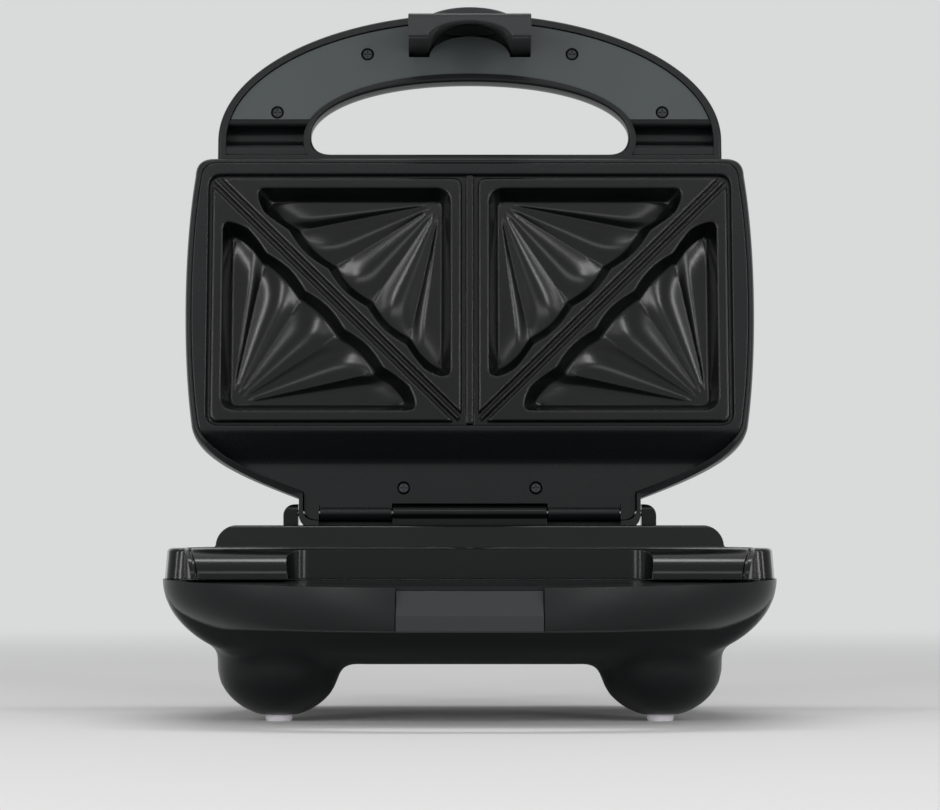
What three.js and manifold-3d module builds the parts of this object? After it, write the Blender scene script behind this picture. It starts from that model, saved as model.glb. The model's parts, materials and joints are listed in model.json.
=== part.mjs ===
// A two-slice sandwich toaster with its lid open.
// All lengths are in millimetres. X runs to the right, -Y to the front and Z up from the table.
// Every piece is drawn with the lid shut; the lid is then turned back about the hinge pin.

import * as THREE from 'three';
import { mergeVertices } from 'three/addons/utils/BufferGeometryUtils.js';
import Module from 'manifold-3d';

const wasm = await Module();
wasm.setup();

// Hinge, parting plane and general clearances
const lidAngle = 100;               // degrees from shut to open
const hingeHeight = 86;
const partingHeight = 71.6;         // where the two halves meet
const plateClearance = 0.3;         // half the gap between the shut cooking plates
const frameClearance = 0.6;         // the frames lie a little back from the plates
const fit = 0.3;                    // gap between pieces that seat on each other
const wall = 2.7;                   // moulded walls
const overrun = 3;                  // cutting bodies run this far past what they cut
const weldDistance = 0.0001;        // closer corners are one

// Plan of the two halves, measured from the hinge pin
const bodyHalfWidth = 127;
const cornerHalfWidth = 123.2;      // at both ends of the bowed sides
const bodyFront = 160;
const sideRear = 37;                // where the slanted rear corner meets the bowed side
const sideFront = 152;
const frontCornerRadius = 8;
const shoulderFront = 6;            // where the straight hinge flank ends
const rearCornerRadius = 6;
const lidRearHalfWidth = 75.6;
const lidRear = 7;                  // behind the pin
const baseRearHalfWidth = 85;
const baseRear = 22;
const rearBowShares = [0.6, 0.35, 0.95, 0.62];  // handles of the slanted corner's curve
const sideBowShare = 0.28;                      // handles of the bowed side
const bowReach = 4 / 3;                         // a cubic reaches three quarters of its handles

// Lid cover
const lidHeight = 39.5;             // crown above the parting plane
const domeInset = 60;               // how far the crown's flat lies inside the sides
const domeExponent = 3;
const coverRimHeight = 1;           // rim above the parting plane
const coverRimInset = 1.6;
const coverBulgeHeight = 7;         // the widest level
const hingeRimHeight = 9;           // the rim rises towards the hinge
const hingeRimFront = 8;
const rimRiseFront = 30;
const barrelWindow = 19;            // the cover's rear wall stops this high over the barrels

// Handle of the lid and finger opening
const handleHalfWidth = 113.5;
const handleCentre = 170;
const handleReach = 59.5;           // from the centre to the front of the arc
const handleRoot = 150;
const handleRimHeight = 8;
const handleSideHeight = 18;
const handleTopHeight = 30;
const handleTopInset = 9;
const handleRim = 3.6;              // width of the rim round the inner panel
const fingerHalfWidth = 71.5;
const fingerRear = 163.3;
const fingerFront = 197.4;
const fingerCorner = 9;
const fingerSideEnd = 172;
const fingerBowShares = [0.55, 0.62];
const fingerRim = 3.5;
const fingerFlareStart = 13;        // above the parting plane, where the opening widens
const fingerFlare = 13;
const panelRear = 179.7;
const panelHeight = 9;              // inner panel's face above the parting plane
const panelThickness = 2.6;
const coveDepth = 4.5;              // hollow gutter between the panel and the lid frame

// Screws
const screwHeadRadius = 2.7;
const screwHeadHeight = 1.6;
const screwRadius = 1.3;
const screwLength = 9;
const screwBore = 1.6;
const screwRecess = 2.2;            // depth of the counterbore
const screwRecessRadius = 3.2;
const bossRadius = 4.2;
const bossDepth = 14;
const handleScrewPlaces = [
  { across: 46.3, forward: 210.4 },
  { across: 86.9, forward: 183 },
];
const hingeScrewAcross = 29.3;
const hingeScrewForward = 11;

// Lid frame and base frame
const frameInset = 3;               // lid frame's edge inside the cover's outline
const frameTaper = 1;               // drawn in at the top, to clear the dome
const frameWall = 1.6;
const flangeThickness = 2.4;
const lidSlopeFront = 34.6;
const hingePanelFront = 21.5;
const hingePanelRear = 4.4;
const hingePanelDrop = 2;           // hinge panel below the pin's axis
const frameHeight = 14.5;
const barrelSpan = 66.5;            // half the length of the whole row of barrels
const centreBarrelSpan = 34.2;
const lidBarrelRadius = 3;
const centreBarrelRadius = 3.4;
const pinRadius = 1.4;
const barrelFacets = 16;

// Cooking plates
const cellSize = 114;
const cellRear = 37.5;
const dividerWidth = 4.8;
const plateThickness = 5.2;
const plateLip = 1.5;               // tucked under the frame's flange
const lipThickness = 2.2;
const plateCorner = 6;
const grooveDepth = 1.4;
const edgeGroove = 1.3;
const diagonalGroove = 2.4;         // half the width of the channel on the diagonal
const cuttingRibHalfWidth = 0.9;
const landCorner = 3.6;
const landTip = 1.6;
const pocketMargin = 6.4;           // cell edge to pocket edge
const pocketLeg = 86.5;
const pocketReach = 90.5;           // the cusps' line, as the sum of its two leg lengths
const pocketBulge = 2.8;            // how far the scallops stand past the cusps' line
const creaseSpacing = 17.4;
const noseStart = 4;
const noseWidth = 10.2;
const pocketCorner = 4.6;
const pocketWall = 4.2;             // width of the steep walls
const floorLeg = 77.5;
const floorReach = 76.2;
const floorBulge = 2.4;
const floorSpacing = 16.2;
const floorCorner = 1.2;
const pocketDepth = 9.6;
const creaseHeight = 3.2;
const pocketBack = 2.2;             // metal behind the pocket floors
const floorRingShares = [1, 0.7, 0.42, 0.18];

// Heating elements, reflectors and small inner pieces
const elementRadius = 3.2;
const elementHalfWidth = 82;
const elementRear = 62;
const elementFront = 128;
const elementTerminal = 14;
const elementEnd = 46;
const elementBend = 10;
const trayDepth = 15;
const trayWall = 0.8;
const trayCorner = 8;
const thermostatRadius = 9;
const thermostatHeight = 7;
const fuseRadius = 2.4;
const fuseLength = 24;
const lensRadius = 3.6;
const lensHeight = 3.2;
const lensAcross = 9;
const lensForward = 128;

// Base
const housingRim = 58.4;            // lower housing meets the base frame
const bellyHeight = 23.5;
const bellyInset = 52;
const bellyDepthShare = 0.6;        // the underside is drawn in less at the front and rear
const baseFrameInset = 1.7;
const baseFrameWall = 3;
const edgeRound = 1.8;
const ridgeHeight = 80.8;
const ridgeFront = 34;
const ridgeTopFront = 24.6;
const ridgeRear = 16.5;
const ridgeInset = 4.6;             // clear of the lid's wall, which swings over its ends
const ridgeHalfWidth = 115;
const ridgeTopHalfWidth = 112;
const ridgeRound = 6;
const wellHeight = 74.6;
const wellFront = 5;
const rearLipHeight = 77.6;
const rearLipDepth = 4;
const earInner = 76.3;
const earOuter = 82.5;
const earHeight = 90;
const earFront = 3;
const earRear = 10;
const earRound = 3;
const earCrown = 5;                 // rounding of the outer upper corner, from the front
const pedestalDepth = 3;

// Front band of the base, its catch and the shoulders over it
const bandHalfWidth = 125.4;
const bandRoot = 118;
const bandCentre = 150;
const bandFront = 209;
const bandTop = 55.7;               // at the front, from where it rises to the housing's rim
const bandBottom = 38.4;
const bandWall = 3;
const bandChamfer = 1.2;
const catchHalfWidth = 27.9;
const catchTop = 54.4;
const catchLip = 44.8;
const catchRampRear = 203.2;
const shoulderHalfWidth = 109;
const shoulderReach = 19;

// Feet
const frontFootAcross = 78.5;
const frontFootForward = 118;
const rearFootAcross = 82;
const rearFootForward = 32;
const footRadius = 25.6;
const footBottom = 2.6;
const footSole = 7.4;
const footMiddle = 23.6;            // the egg's widest level
const footCrown = 22;               // from there to its top, mostly inside the housing
const footFlare = 7;
const flareHeight = 3.4;
const footFacets = 20;
const padRadius = 5.6;
const padRecess = 2.2;
const housingScrewAcross = 46;
const housingScrewPlaces = [42, 108];
const housingBossHeight = 12;

// Latch
const latchHalfWidth = 27.2;
const latchSlotHalfWidth = 27.7;
const slotHalfWidth = 27.6;
const slotRear = 209;
const tongueHalfWidth = 18.2;
const tongueFront = 218.8;
const pivotForward = 221.5;
const pivotHeight = 94;
const noseBottom = 35.2;
const noseTop = 38;
const noseRear = 203.4;
const noseFront = 215.3;
const legRear = 209.6;
const legRearTop = 211.5;
const legFrontTop = 227.4;
const latchTop = 96.4;
const latchHeadroom = 1.8;          // the notch stands above the latch, so that it can tip
const archHalfWidth = 18.8;
const archHalfWidthTop = 20.4;
const archFront = 212.9;
const archFrontTop = 223;
const tabHalfWidth = 21;
const tabFront = 235.4;
const tabBottom = 86;
const tabTop = 93;
const pivotBossInner = 31;
const pivotBossOuter = 34;
const springRadius = 2.2;

// Cord gland and terminal block
const glandAcross = 52;
const glandHeight = 44;
const glandRadius = 6;
const glandFlange = 8;
const glandLength = 11;
const glandBore = 3.2;
const terminalSize = { x: 26, y: 14, z: 11 };
const terminalForward = 18;
const terminalPost = 6;

const materials = {
  cover: new THREE.MeshStandardMaterial({ color: 0x24282a, roughness: 0.38, metalness: 0 }),
  frame: new THREE.MeshStandardMaterial({ color: 0x1c2022, roughness: 0.22, metalness: 0 }),
  panel: new THREE.MeshStandardMaterial({ color: 0x474c4c, roughness: 0.55, metalness: 0 }),
  plate: new THREE.MeshStandardMaterial({ color: 0x1e2021, roughness: 0.35, metalness: 0.4 }),
  steel: new THREE.MeshStandardMaterial({ color: 0x9a9c9e, roughness: 0.35, metalness: 1 }),
  darkSteel: new THREE.MeshStandardMaterial({ color: 0x3c4042, roughness: 0.45, metalness: 1 }),
  tinned: new THREE.MeshStandardMaterial({ color: 0xb4b6b6, roughness: 0.3, metalness: 1 }),
  rubber: new THREE.MeshStandardMaterial({ color: 0x9c979d, roughness: 0.8, metalness: 0 }),
  darkRubber: new THREE.MeshStandardMaterial({ color: 0x161616, roughness: 0.85, metalness: 0 }),
  insulator: new THREE.MeshStandardMaterial({ color: 0xd8d4c8, roughness: 0.7, metalness: 0 }),
  redLens: new THREE.MeshStandardMaterial({ color: 0xa01414, roughness: 0.2, metalness: 0 }),
  greenLens: new THREE.MeshStandardMaterial({ color: 0x147828, roughness: 0.2, metalness: 0 }),
};

// ---- Building blocks ----

// A closed geometry as a solid that can be cut and joined
function toSolid(geometry) {
  const bare = geometry.clone();
  bare.deleteAttribute('normal');
  bare.deleteAttribute('uv');
  const merged = mergeVertices(bare, weldDistance);
  return new wasm.Manifold(new wasm.Mesh({
    numProp: 3,
    vertProperties: Float32Array.from(merged.attributes.position.array),
    triVerts: Uint32Array.from(merged.index.array),
  }));
}

// A solid as a named mesh
function toMesh(name, solid, material) {
  const result = solid.getMesh();
  const geometry = new THREE.BufferGeometry();
  geometry.setAttribute('position', new THREE.BufferAttribute(result.vertProperties, 3));
  geometry.setIndex(new THREE.BufferAttribute(result.triVerts, 1));
  geometry.computeVertexNormals();
  const mesh = new THREE.Mesh(geometry, material);
  mesh.name = name;
  return mesh;
}

const joined = (first, ...others) => others.reduce((sum, next) => sum.add(next), first);
const cutBy = (first, ...others) => others.reduce((left, next) => left.subtract(next), first);

// Sections with equal counts of points, joined in turn and closed at both ends
function loft(sections) {
  const count = sections[0].length;
  const last = count * (sections.length - 1);
  const positions = sections.flat().flatMap((point) => [point.x, point.y, point.z]);
  const index = [];
  for (let level = 0; level + 1 < sections.length; level += 1) {
    for (let i = 0; i < count; i += 1) {
      const a = level * count + i;
      const b = level * count + (i + 1) % count;
      index.push(a, b, b + count, a, b + count, a + count);
    }
  }
  const plan = sections[0].map((point) => new THREE.Vector2(point.x, point.y));
  const turn = Math.sign(THREE.ShapeUtils.area(plan));
  for (const [a, b, c] of THREE.ShapeUtils.triangulateShape(plan, [])) {
    const triangle = [plan[a], plan[b], plan[c]];
    const same = Math.sign(THREE.ShapeUtils.area(triangle)) === turn;
    const [second, third] = same ? [b, c] : [c, b];
    index.push(a, third, second, last + a, last + second, last + third);
  }
  const geometry = new THREE.BufferGeometry();
  geometry.setAttribute('position', new THREE.Float32BufferAttribute(positions, 3));
  geometry.setIndex(enclosedVolume(positions, index) < 0 ? flipped(index) : index);
  return toSolid(geometry);
}

function enclosedVolume(positions, index) {
  const corner = (i) => new THREE.Vector3().fromArray(positions, 3 * i);
  let sum = 0;
  for (let i = 0; i < index.length; i += 3) {
    sum += corner(index[i]).dot(corner(index[i + 1]).cross(corner(index[i + 2])));
  }
  return sum;
}

function flipped(index) {
  const result = [];
  for (let i = 0; i < index.length; i += 3) {
    result.push(index[i], index[i + 2], index[i + 1]);
  }
  return result;
}

// A plan loop at one level
const level = (loop, height) => loop.map((point) => new THREE.Vector3(point.x, point.y, height));

// A straight-sided body between two levels
function prism(loop, bottom, top) {
  return loft([level(loop, bottom), level(loop, top)]);
}

// A side profile of { y, z } points, drawn out along X
function alongX(profile, from, to) {
  const shape = new THREE.Shape(profile.map((point) => new THREE.Vector2(point.y, point.z)));
  const geometry = new THREE.ExtrudeGeometry(shape, { depth: to - from, bevelEnabled: false });
  const basis = new THREE.Matrix4().makeBasis(
    new THREE.Vector3(0, 1, 0),
    new THREE.Vector3(0, 0, 1),
    new THREE.Vector3(1, 0, 0),
  );
  geometry.applyMatrix4(basis);
  geometry.translate(from, 0, 0);
  return toSolid(geometry);
}

// A front outline of { x, z } points, drawn out along Y
function alongY(outline, from, to) {
  const shape = new THREE.Shape(outline.map((point) => new THREE.Vector2(point.x, point.z)));
  const geometry = new THREE.ExtrudeGeometry(shape, { depth: to - from, bevelEnabled: false });
  geometry.rotateX(Math.PI / 2);
  geometry.translate(0, to, 0);
  return toSolid(geometry);
}

function block(x0, x1, y0, y1, z0, z1) {
  const geometry = new THREE.BoxGeometry(x1 - x0, y1 - y0, z1 - z0);
  geometry.translate((x0 + x1) / 2, (y0 + y1) / 2, (z0 + z1) / 2);
  return toSolid(geometry);
}

// A round bar along X
function barAlongX(radius, from, to, y, z, facets) {
  const geometry = new THREE.CylinderGeometry(radius, radius, to - from, facets);
  geometry.rotateZ(Math.PI / 2);
  geometry.translate((from + to) / 2, y, z);
  return toSolid(geometry);
}

// A round post along Z
function post(radius, x, y, bottom, top, facets) {
  const geometry = new THREE.CylinderGeometry(radius, radius, top - bottom, facets);
  geometry.rotateX(Math.PI / 2);
  geometry.translate(x, y, (bottom + top) / 2);
  return toSolid(geometry);
}

// A turned body about a vertical axis, from { r, z } points that start and end on the axis
function turned(profile, x, y, facets) {
  const outline = profile.map((point) => new THREE.Vector2(point.r, point.z));
  const geometry = new THREE.LatheGeometry(outline, facets);
  geometry.rotateX(Math.PI / 2);
  geometry.translate(x, y, 0);
  return toSolid(geometry);
}

// ---- Plan loops ----

// A half loop of points from the rear to the front, completed by its mirror image
function mirroredLoop(half) {
  const other = half.filter((point) => point.x > weldDistance).reverse();
  return [...half, ...other.map((point) => new THREE.Vector2(-point.x, point.y))];
}

// The plan of either half: straight hinge flank, slanted rear corner, bowed side, front corner
function bodyLoop(rearHalfWidth, rear) {
  const path = new THREE.Path();
  path.moveTo(rearHalfWidth - rearCornerRadius, rear);
  path.quadraticCurveTo(rearHalfWidth, rear, rearHalfWidth, rear - rearCornerRadius);
  path.lineTo(rearHalfWidth, -shoulderFront);
  const slant = { x: cornerHalfWidth - rearHalfWidth, y: sideRear - shoulderFront };
  path.bezierCurveTo(
    rearHalfWidth + slant.x * rearBowShares[0],
    -shoulderFront - slant.y * rearBowShares[1],
    rearHalfWidth + slant.x * rearBowShares[2],
    -shoulderFront - slant.y * rearBowShares[3],
    cornerHalfWidth,
    -sideRear,
  );
  const bow = (bodyHalfWidth - cornerHalfWidth) * bowReach;
  const handleLength = (sideFront - sideRear) * sideBowShare;
  path.bezierCurveTo(
    cornerHalfWidth + bow,
    -sideRear - handleLength,
    cornerHalfWidth + bow,
    -sideFront + handleLength,
    cornerHalfWidth,
    -sideFront,
  );
  path.quadraticCurveTo(
    cornerHalfWidth,
    -bodyFront,
    cornerHalfWidth - frontCornerRadius,
    -bodyFront,
  );
  return mirroredLoop(path.getPoints(5));
}

// The loop drawn in by the given distance from its sides, front and rear
function insetLoop(loop, inset, insetY = inset) {
  const box = new THREE.Box2().setFromPoints(loop);
  const centre = box.getCenter(new THREE.Vector2());
  const half = box.getSize(new THREE.Vector2()).multiplyScalar(1 / 2);
  return loop.map((point) => new THREE.Vector2(
    centre.x + (point.x - centre.x) * (1 - inset / half.x),
    centre.y + (point.y - centre.y) * (1 - insetY / half.y),
  ));
}

// A half-ellipse that bulges to the front, with straight sides back to its root
function archLoop(halfWidth, root, centre, reach) {
  const path = new THREE.Path();
  path.moveTo(halfWidth, -root);
  path.lineTo(halfWidth, -centre);
  path.absellipse(0, -centre, halfWidth, reach, 0, -Math.PI / 2, true);
  return mirroredLoop(path.getPoints(8));
}

// The finger opening: flat rear, rounded corners, low arch at the front
function fingerLoop(outset = 0) {
  const path = new THREE.Path();
  path.moveTo(fingerHalfWidth - fingerCorner, -fingerRear);
  path.quadraticCurveTo(
    fingerHalfWidth,
    -fingerRear,
    fingerHalfWidth,
    -fingerSideEnd,
  );
  path.bezierCurveTo(
    fingerHalfWidth,
    -fingerSideEnd - (fingerFront - fingerSideEnd) * fingerBowShares[0],
    fingerHalfWidth * fingerBowShares[1],
    -fingerFront,
    0,
    -fingerFront,
  );
  return insetLoop(mirroredLoop(path.getPoints(8)), -outset);
}

function roundedBox(halfWidth, rear, front, radius) {
  const path = new THREE.Path();
  path.moveTo(halfWidth - radius, -rear);
  path.quadraticCurveTo(halfWidth, -rear, halfWidth, -rear - radius);
  path.lineTo(halfWidth, -front + radius);
  path.quadraticCurveTo(halfWidth, -front, halfWidth - radius, -front);
  return mirroredLoop(path.getPoints(4));
}

// A polygon whose corners are rounded, each by its own radius
function roundedPolygon(corners, radii) {
  const path = new THREE.Path();
  corners.forEach((corner, i) => {
    const before = corners[(i + corners.length - 1) % corners.length];
    const after = corners[(i + 1) % corners.length];
    const start = corner.clone().add(before.clone().sub(corner).setLength(radii[i]));
    const end = corner.clone().add(after.clone().sub(corner).setLength(radii[i]));
    if (i === 0) {
      path.moveTo(start.x, start.y);
    } else {
      path.lineTo(start.x, start.y);
    }
    path.quadraticCurveTo(corner.x, corner.y, end.x, end.y);
  });
  return path.getPoints(4);
}

const lidLoop = bodyLoop(lidRearHalfWidth, lidRear);
const baseLoop = bodyLoop(baseRearHalfWidth, baseRear);
const handleLoop = archLoop(handleHalfWidth, handleRoot, handleCentre, handleReach);
const shoulderLoop = archLoop(shoulderHalfWidth, handleRoot, bodyFront, bandFront - bodyFront);

// ---- Screws, shared by every moulded piece ----

// A pan-head screw whose head is down at the given level and whose shank points up
function screw(x, y, headLevel) {
  const dome = screwHeadHeight / 3;
  const profile = [
    { r: 0, z: headLevel },
    { r: screwHeadRadius - dome, z: headLevel },
    { r: screwHeadRadius, z: headLevel + dome },
    { r: screwHeadRadius, z: headLevel + screwHeadHeight },
    { r: screwRadius, z: headLevel + screwHeadHeight },
    { r: screwRadius, z: headLevel + screwLength },
    { r: 0, z: headLevel + screwLength },
  ];
  return turned(profile, x, y, 8);
}

// The stepped hole that such a screw passes through, cut up from a face at the given level
function screwHole(x, y, faceLevel, depth) {
  return joined(
    post(screwRecessRadius, x, y, faceLevel - overrun, faceLevel + screwRecess, 16),
    post(screwBore, x, y, faceLevel, faceLevel + depth, 12),
  );
}

// ---- Cooking plates ----

// Half of a pocket's outline, from its right-angled corner to the middle of its long side.
// Each point also says how much of a crease it is: 1 on a crease, 0 in the middle of a flute.
function halfPocket(leg, reach, bulge, spacing, corner) {
  const points = [
    { s: corner / 4, t: corner / 4, crease: 0 },
    { s: corner, t: 0, crease: 0 },
    { s: leg / 2, t: 0, crease: 0 },
  ];
  const outer = spacing * 3 / 2;
  const farAcross = (leg - noseStart - noseWidth) / 2;
  const farSum = reach + bulge;
  const end = { s: farSum / 2 + farAcross, t: farSum / 2 - farAcross };
  const start = { s: leg - noseStart, t: 0 };
  const tip = { s: leg + noseStart / 2, t: 0 };
  for (const share of [0, 0.3, 0.55, 0.8]) {
    const a = (1 - share) ** 2;
    const b = 2 * share * (1 - share);
    const c = share ** 2;
    points.push({
      s: a * start.s + b * tip.s + c * end.s,
      t: a * start.t + b * tip.t + c * end.t,
      crease: 0,
    });
  }
  const alongSide = (across, wave) => {
    const sum = reach + bulge * wave;
    points.push({ s: sum / 2 + across, t: sum / 2 - across, crease: 1 - wave });
  };
  for (const share of [1, 0.6, 0.3]) {
    alongSide(outer + (farAcross - outer) * share, Math.sin(share * Math.PI / 2));
  }
  const steps = 12;
  for (let i = 0; i <= steps / 2; i += 1) {
    const across = outer * (1 - i * 2 / steps);
    alongSide(across, Math.abs(Math.cos(across * Math.PI / spacing)));
  }
  return points;
}

function pocketOutline(leg, reach, bulge, spacing, corner) {
  const half = halfPocket(leg, reach, bulge, spacing, corner);
  const other = half.slice(1, -1).reverse();
  return [...half, ...other.map(({ s, t, crease }) => ({ s: t, t: s, crease }))];
}

// The hollow of one pocket: steep walls down to a fan of flutes between sharp creases
function pocketHollow(place, depthTo) {
  const rim = pocketOutline(pocketLeg, pocketReach, pocketBulge, creaseSpacing, pocketCorner);
  const floor = pocketOutline(floorLeg, floorReach, floorBulge, floorSpacing, floorCorner);
  const at = (point, origin, depth) => {
    const flat = place(pocketMargin + origin + point.s, pocketMargin + origin + point.t);
    return new THREE.Vector3(flat.x, flat.y, depthTo(depth));
  };
  const rings = [
    rim.map((point) => at(point, 0, -overrun)),
    rim.map((point) => at(point, 0, 0)),
  ];
  for (const share of floorRingShares) {
    rings.push(floor.map((point) => {
      const drawn = { s: point.s * share, t: point.t * share };
      return at(drawn, pocketWall, pocketDepth - creaseHeight * point.crease * share);
    }));
  }
  return loft(rings);
}

// The flat land round one pocket, as a plan loop
function landLoop(place, margin) {
  const reach = cellSize - diagonalGroove * Math.SQRT2;
  const near = edgeGroove + margin;
  const far = reach - edgeGroove - margin * (1 + Math.SQRT2);
  const corners = [place(near, near), place(far, near), place(near, far)];
  return roundedPolygon(corners, [landCorner, landTip, landTip]);
}

// The four triangles: two in each cell, each with its right angle in an opposite corner
function trianglePlaces() {
  const inner = dividerWidth / 2;
  const outer = inner + cellSize;
  const front = cellRear + cellSize;
  const places = [];
  for (const side of [-1, 1]) {
    places.push((s, t) => new THREE.Vector2(side * (inner + s), -front + t));
    places.push((s, t) => new THREE.Vector2(side * (outer - t), -cellRear - s));
  }
  return places;
}

// The sharp rib that cuts the slice along a cell's diagonal
function diagonalRidge(side, depthTo) {
  const inner = dividerWidth / 2;
  const start = new THREE.Vector2(side * inner, -cellRear);
  const end = new THREE.Vector2(side * (inner + cellSize), -cellRear - cellSize);
  const along = end.clone().sub(start).normalize();
  const square = new THREE.Vector2(-along.y, along.x).multiplyScalar(cuttingRibHalfWidth);
  start.addScaledVector(along, landCorner);
  end.addScaledVector(along, -landCorner);
  const foot = [
    start.clone().add(square),
    start.clone().sub(square),
    end.clone().sub(square),
    end.clone().add(square),
  ];
  const crest = [start, start, end, end].map((point, i) => (
    point.clone().addScaledVector(square, (i === 0 || i === 3 ? 1 : -1) / 3)
  ));
  return loft([
    level(foot, depthTo(grooveDepth + plateThickness / 4)),
    level(foot, depthTo(grooveDepth)),
    level(crest, depthTo(0)),
  ]);
}

// A cooking plate; depthTo turns a depth below its face into a height
function cookingPlate(depthTo) {
  const span = dividerWidth / 2 + cellSize;
  const front = cellRear + cellSize;
  const between = (loop, top, bottom) => prism(loop, depthTo(top), depthTo(bottom));
  const face = roundedBox(span, cellRear, front, plateCorner);
  const lip = insetLoop(face, -plateLip);
  const lipTop = flangeThickness + frameClearance - plateClearance + fit;
  const bar = roundedBox(dividerWidth / 2 - edgeGroove / 2, cellRear, front, edgeGroove);
  let plate = joined(
    between(face, grooveDepth, plateThickness),
    between(lip, lipTop, lipTop + lipThickness),
    between(bar, 0, plateThickness / 2),
    diagonalRidge(-1, depthTo),
    diagonalRidge(1, depthTo),
  );
  for (const place of trianglePlaces()) {
    const back = pocketDepth + pocketBack;
    plate = joined(
      plate,
      between(landLoop(place, 0), 0, plateThickness / 2),
      between(landLoop(place, edgeGroove), plateThickness / 2, back),
    );
  }
  for (const place of trianglePlaces()) {
    plate = plate.subtract(pocketHollow(place, depthTo));
  }
  return plate;
}

const lowerDepth = (depth) => partingHeight - plateClearance - depth;
const upperDepth = (depth) => partingHeight + plateClearance + depth;

// ---- Heaters and reflectors ----

const elementDepth = pocketDepth + pocketBack + fit + elementRadius;
const trayTop = flangeThickness + frameClearance - plateClearance + lipThickness + 2 * fit;

// The tubular heater: a loop that lies against the back of the pockets, open at the rear
function heatingElement(depthTo) {
  const height = depthTo(elementDepth);
  const right = [
    [elementTerminal, elementEnd],
    [elementTerminal, elementRear - elementBend],
    [elementTerminal + elementBend, elementRear],
    [elementHalfWidth - elementBend, elementRear],
    [elementHalfWidth, elementRear + elementBend],
    [elementHalfWidth, elementFront - elementBend],
    [elementHalfWidth - elementBend, elementFront],
  ];
  const left = right.map(([across, forward]) => [-across, forward]).reverse();
  const points = [...right, ...left].map(([across, forward]) => (
    new THREE.Vector3(across, -forward, height)
  ));
  const path = new THREE.CatmullRomCurve3(points, false, 'centripetal');
  const section = new THREE.Shape();
  section.absarc(0, 0, elementRadius, 0, 2 * Math.PI);
  return toSolid(new THREE.ExtrudeGeometry(section, {
    steps: 44,
    curveSegments: 3,
    bevelEnabled: false,
    extrudePath: path,
  }));
}

// The sheet tray behind the heater
function reflectorTray(depthTo) {
  const span = dividerWidth / 2 + cellSize + plateLip - fit;
  const rear = cellRear - plateLip + fit;
  const front = cellRear + cellSize + plateLip - fit;
  const outer = roundedBox(span, rear, front, trayCorner);
  const inner = insetLoop(outer, trayWall);
  const bottom = trayTop + trayDepth;
  return cutBy(
    loft([level(outer, depthTo(trayTop)), level(outer, depthTo(bottom))]),
    loft([level(inner, depthTo(trayTop - overrun)), level(inner, depthTo(bottom - trayWall))]),
  );
}

// ---- Lid ----

function superellipse(share) {
  const angle = share * Math.PI / 2;
  return {
    inset: 1 - Math.cos(angle) ** (2 / domeExponent),
    rise: Math.sin(angle) ** (2 / domeExponent),
  };
}

// A dome over a plan loop, from a given level up to its crown
function domeSections(loop, from, to, inset, shares) {
  return shares.map((share) => {
    const place = superellipse(share);
    return level(insetLoop(loop, inset * place.inset), from + (to - from) * place.rise);
  });
}

const domeShares = [0, 0.06, 0.18, 0.34, 0.52, 0.7, 0.84, 0.94];

function coverShell() {
  const bulge = partingHeight + coverBulgeHeight;
  const crown = partingHeight + lidHeight;
  const rim = partingHeight + coverRimHeight;
  const outer = loft([
    level(insetLoop(lidLoop, coverRimInset), rim),
    level(insetLoop(lidLoop, coverRimInset / 3), (2 * rim + bulge) / 3),
    ...domeSections(lidLoop, bulge, crown, domeInset, domeShares),
  ]);
  const handleSide = partingHeight + handleSideHeight;
  const handle = loft([
    level(insetLoop(handleLoop, coverRimInset / 3), partingHeight + handleRimHeight),
    level(handleLoop, partingHeight + handleRimHeight + coverRimHeight),
    ...domeSections(
      handleLoop,
      handleSide,
      partingHeight + handleTopHeight,
      handleTopInset,
      [0, 0.15, 0.4, 0.7, 1],
    ),
  ]);
  return joined(outer, handle);
}

// What the cover is hollowed by: the body's inside, with its roof one wall below the dome
function coverInside() {
  const inner = insetLoop(lidLoop, wall);
  const bulge = partingHeight + coverBulgeHeight;
  const crown = partingHeight + lidHeight - wall;
  return loft([
    level(inner, partingHeight - overrun),
    ...domeSections(inner, bulge, crown, domeInset, [0, 0.18, 0.4, 0.66, 0.9]),
  ]);
}

// The finger opening of the lid, which widens towards the back of the handle
function fingerCutter(outset) {
  const low = partingHeight - overrun;
  const start = partingHeight + fingerFlareStart;
  const top = partingHeight + handleTopHeight;
  const flared = [0, 0.25, 0.5, 0.75, 1].map((share) => {
    const angle = share * Math.PI / 2;
    const drawn = outset + fingerFlare * (1 - Math.cos(angle));
    return level(fingerLoop(drawn), start + (top - start) * Math.sin(angle));
  });
  const wide = level(fingerLoop(outset + fingerFlare + overrun), top + overrun);
  const reach = handleCentre + handleReach;
  return loft([level(fingerLoop(outset), low - overrun), ...flared, wide]).intersect(
    block(-bodyHalfWidth, bodyHalfWidth, -reach, -fingerRear + outset, 0, top + overrun),
  );
}

// The handle's inside, as a plan region between the outer rim and the opening's rim
function handleRegion(gap, rearEdge, bottom, top) {
  return cutBy(
    prism(insetLoop(handleLoop, handleRim + gap), bottom, top),
    fingerCutter(fingerRim + gap),
    block(-bodyHalfWidth, bodyHalfWidth, -rearEdge, 0, bottom - overrun, top + overrun),
  );
}

function coveCut() {
  const face = partingHeight + panelHeight;
  const rear = bodyFront + wall;
  const width = panelRear - rear;
  const points = [
    { y: -rear, z: partingHeight - overrun },
    { y: -rear, z: face },
  ];
  for (const share of [0.2, 0.4, 0.6, 0.8]) {
    points.push({
      y: -rear - width * share,
      z: face + coveDepth * Math.sin(share * Math.PI) ** (2 / domeExponent),
    });
  }
  points.push({ y: -panelRear, z: face }, { y: -panelRear, z: partingHeight - overrun });
  const region = handleRegion(0, bodyFront, partingHeight - overrun, face + 2 * coveDepth);
  return alongX(points, -bodyHalfWidth, bodyHalfWidth).intersect(region);
}

function handleScrews() {
  return handleScrewPlaces.flatMap(({ across, forward }) => [
    { x: -across, y: -forward },
    { x: across, y: -forward },
  ]);
}

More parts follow.
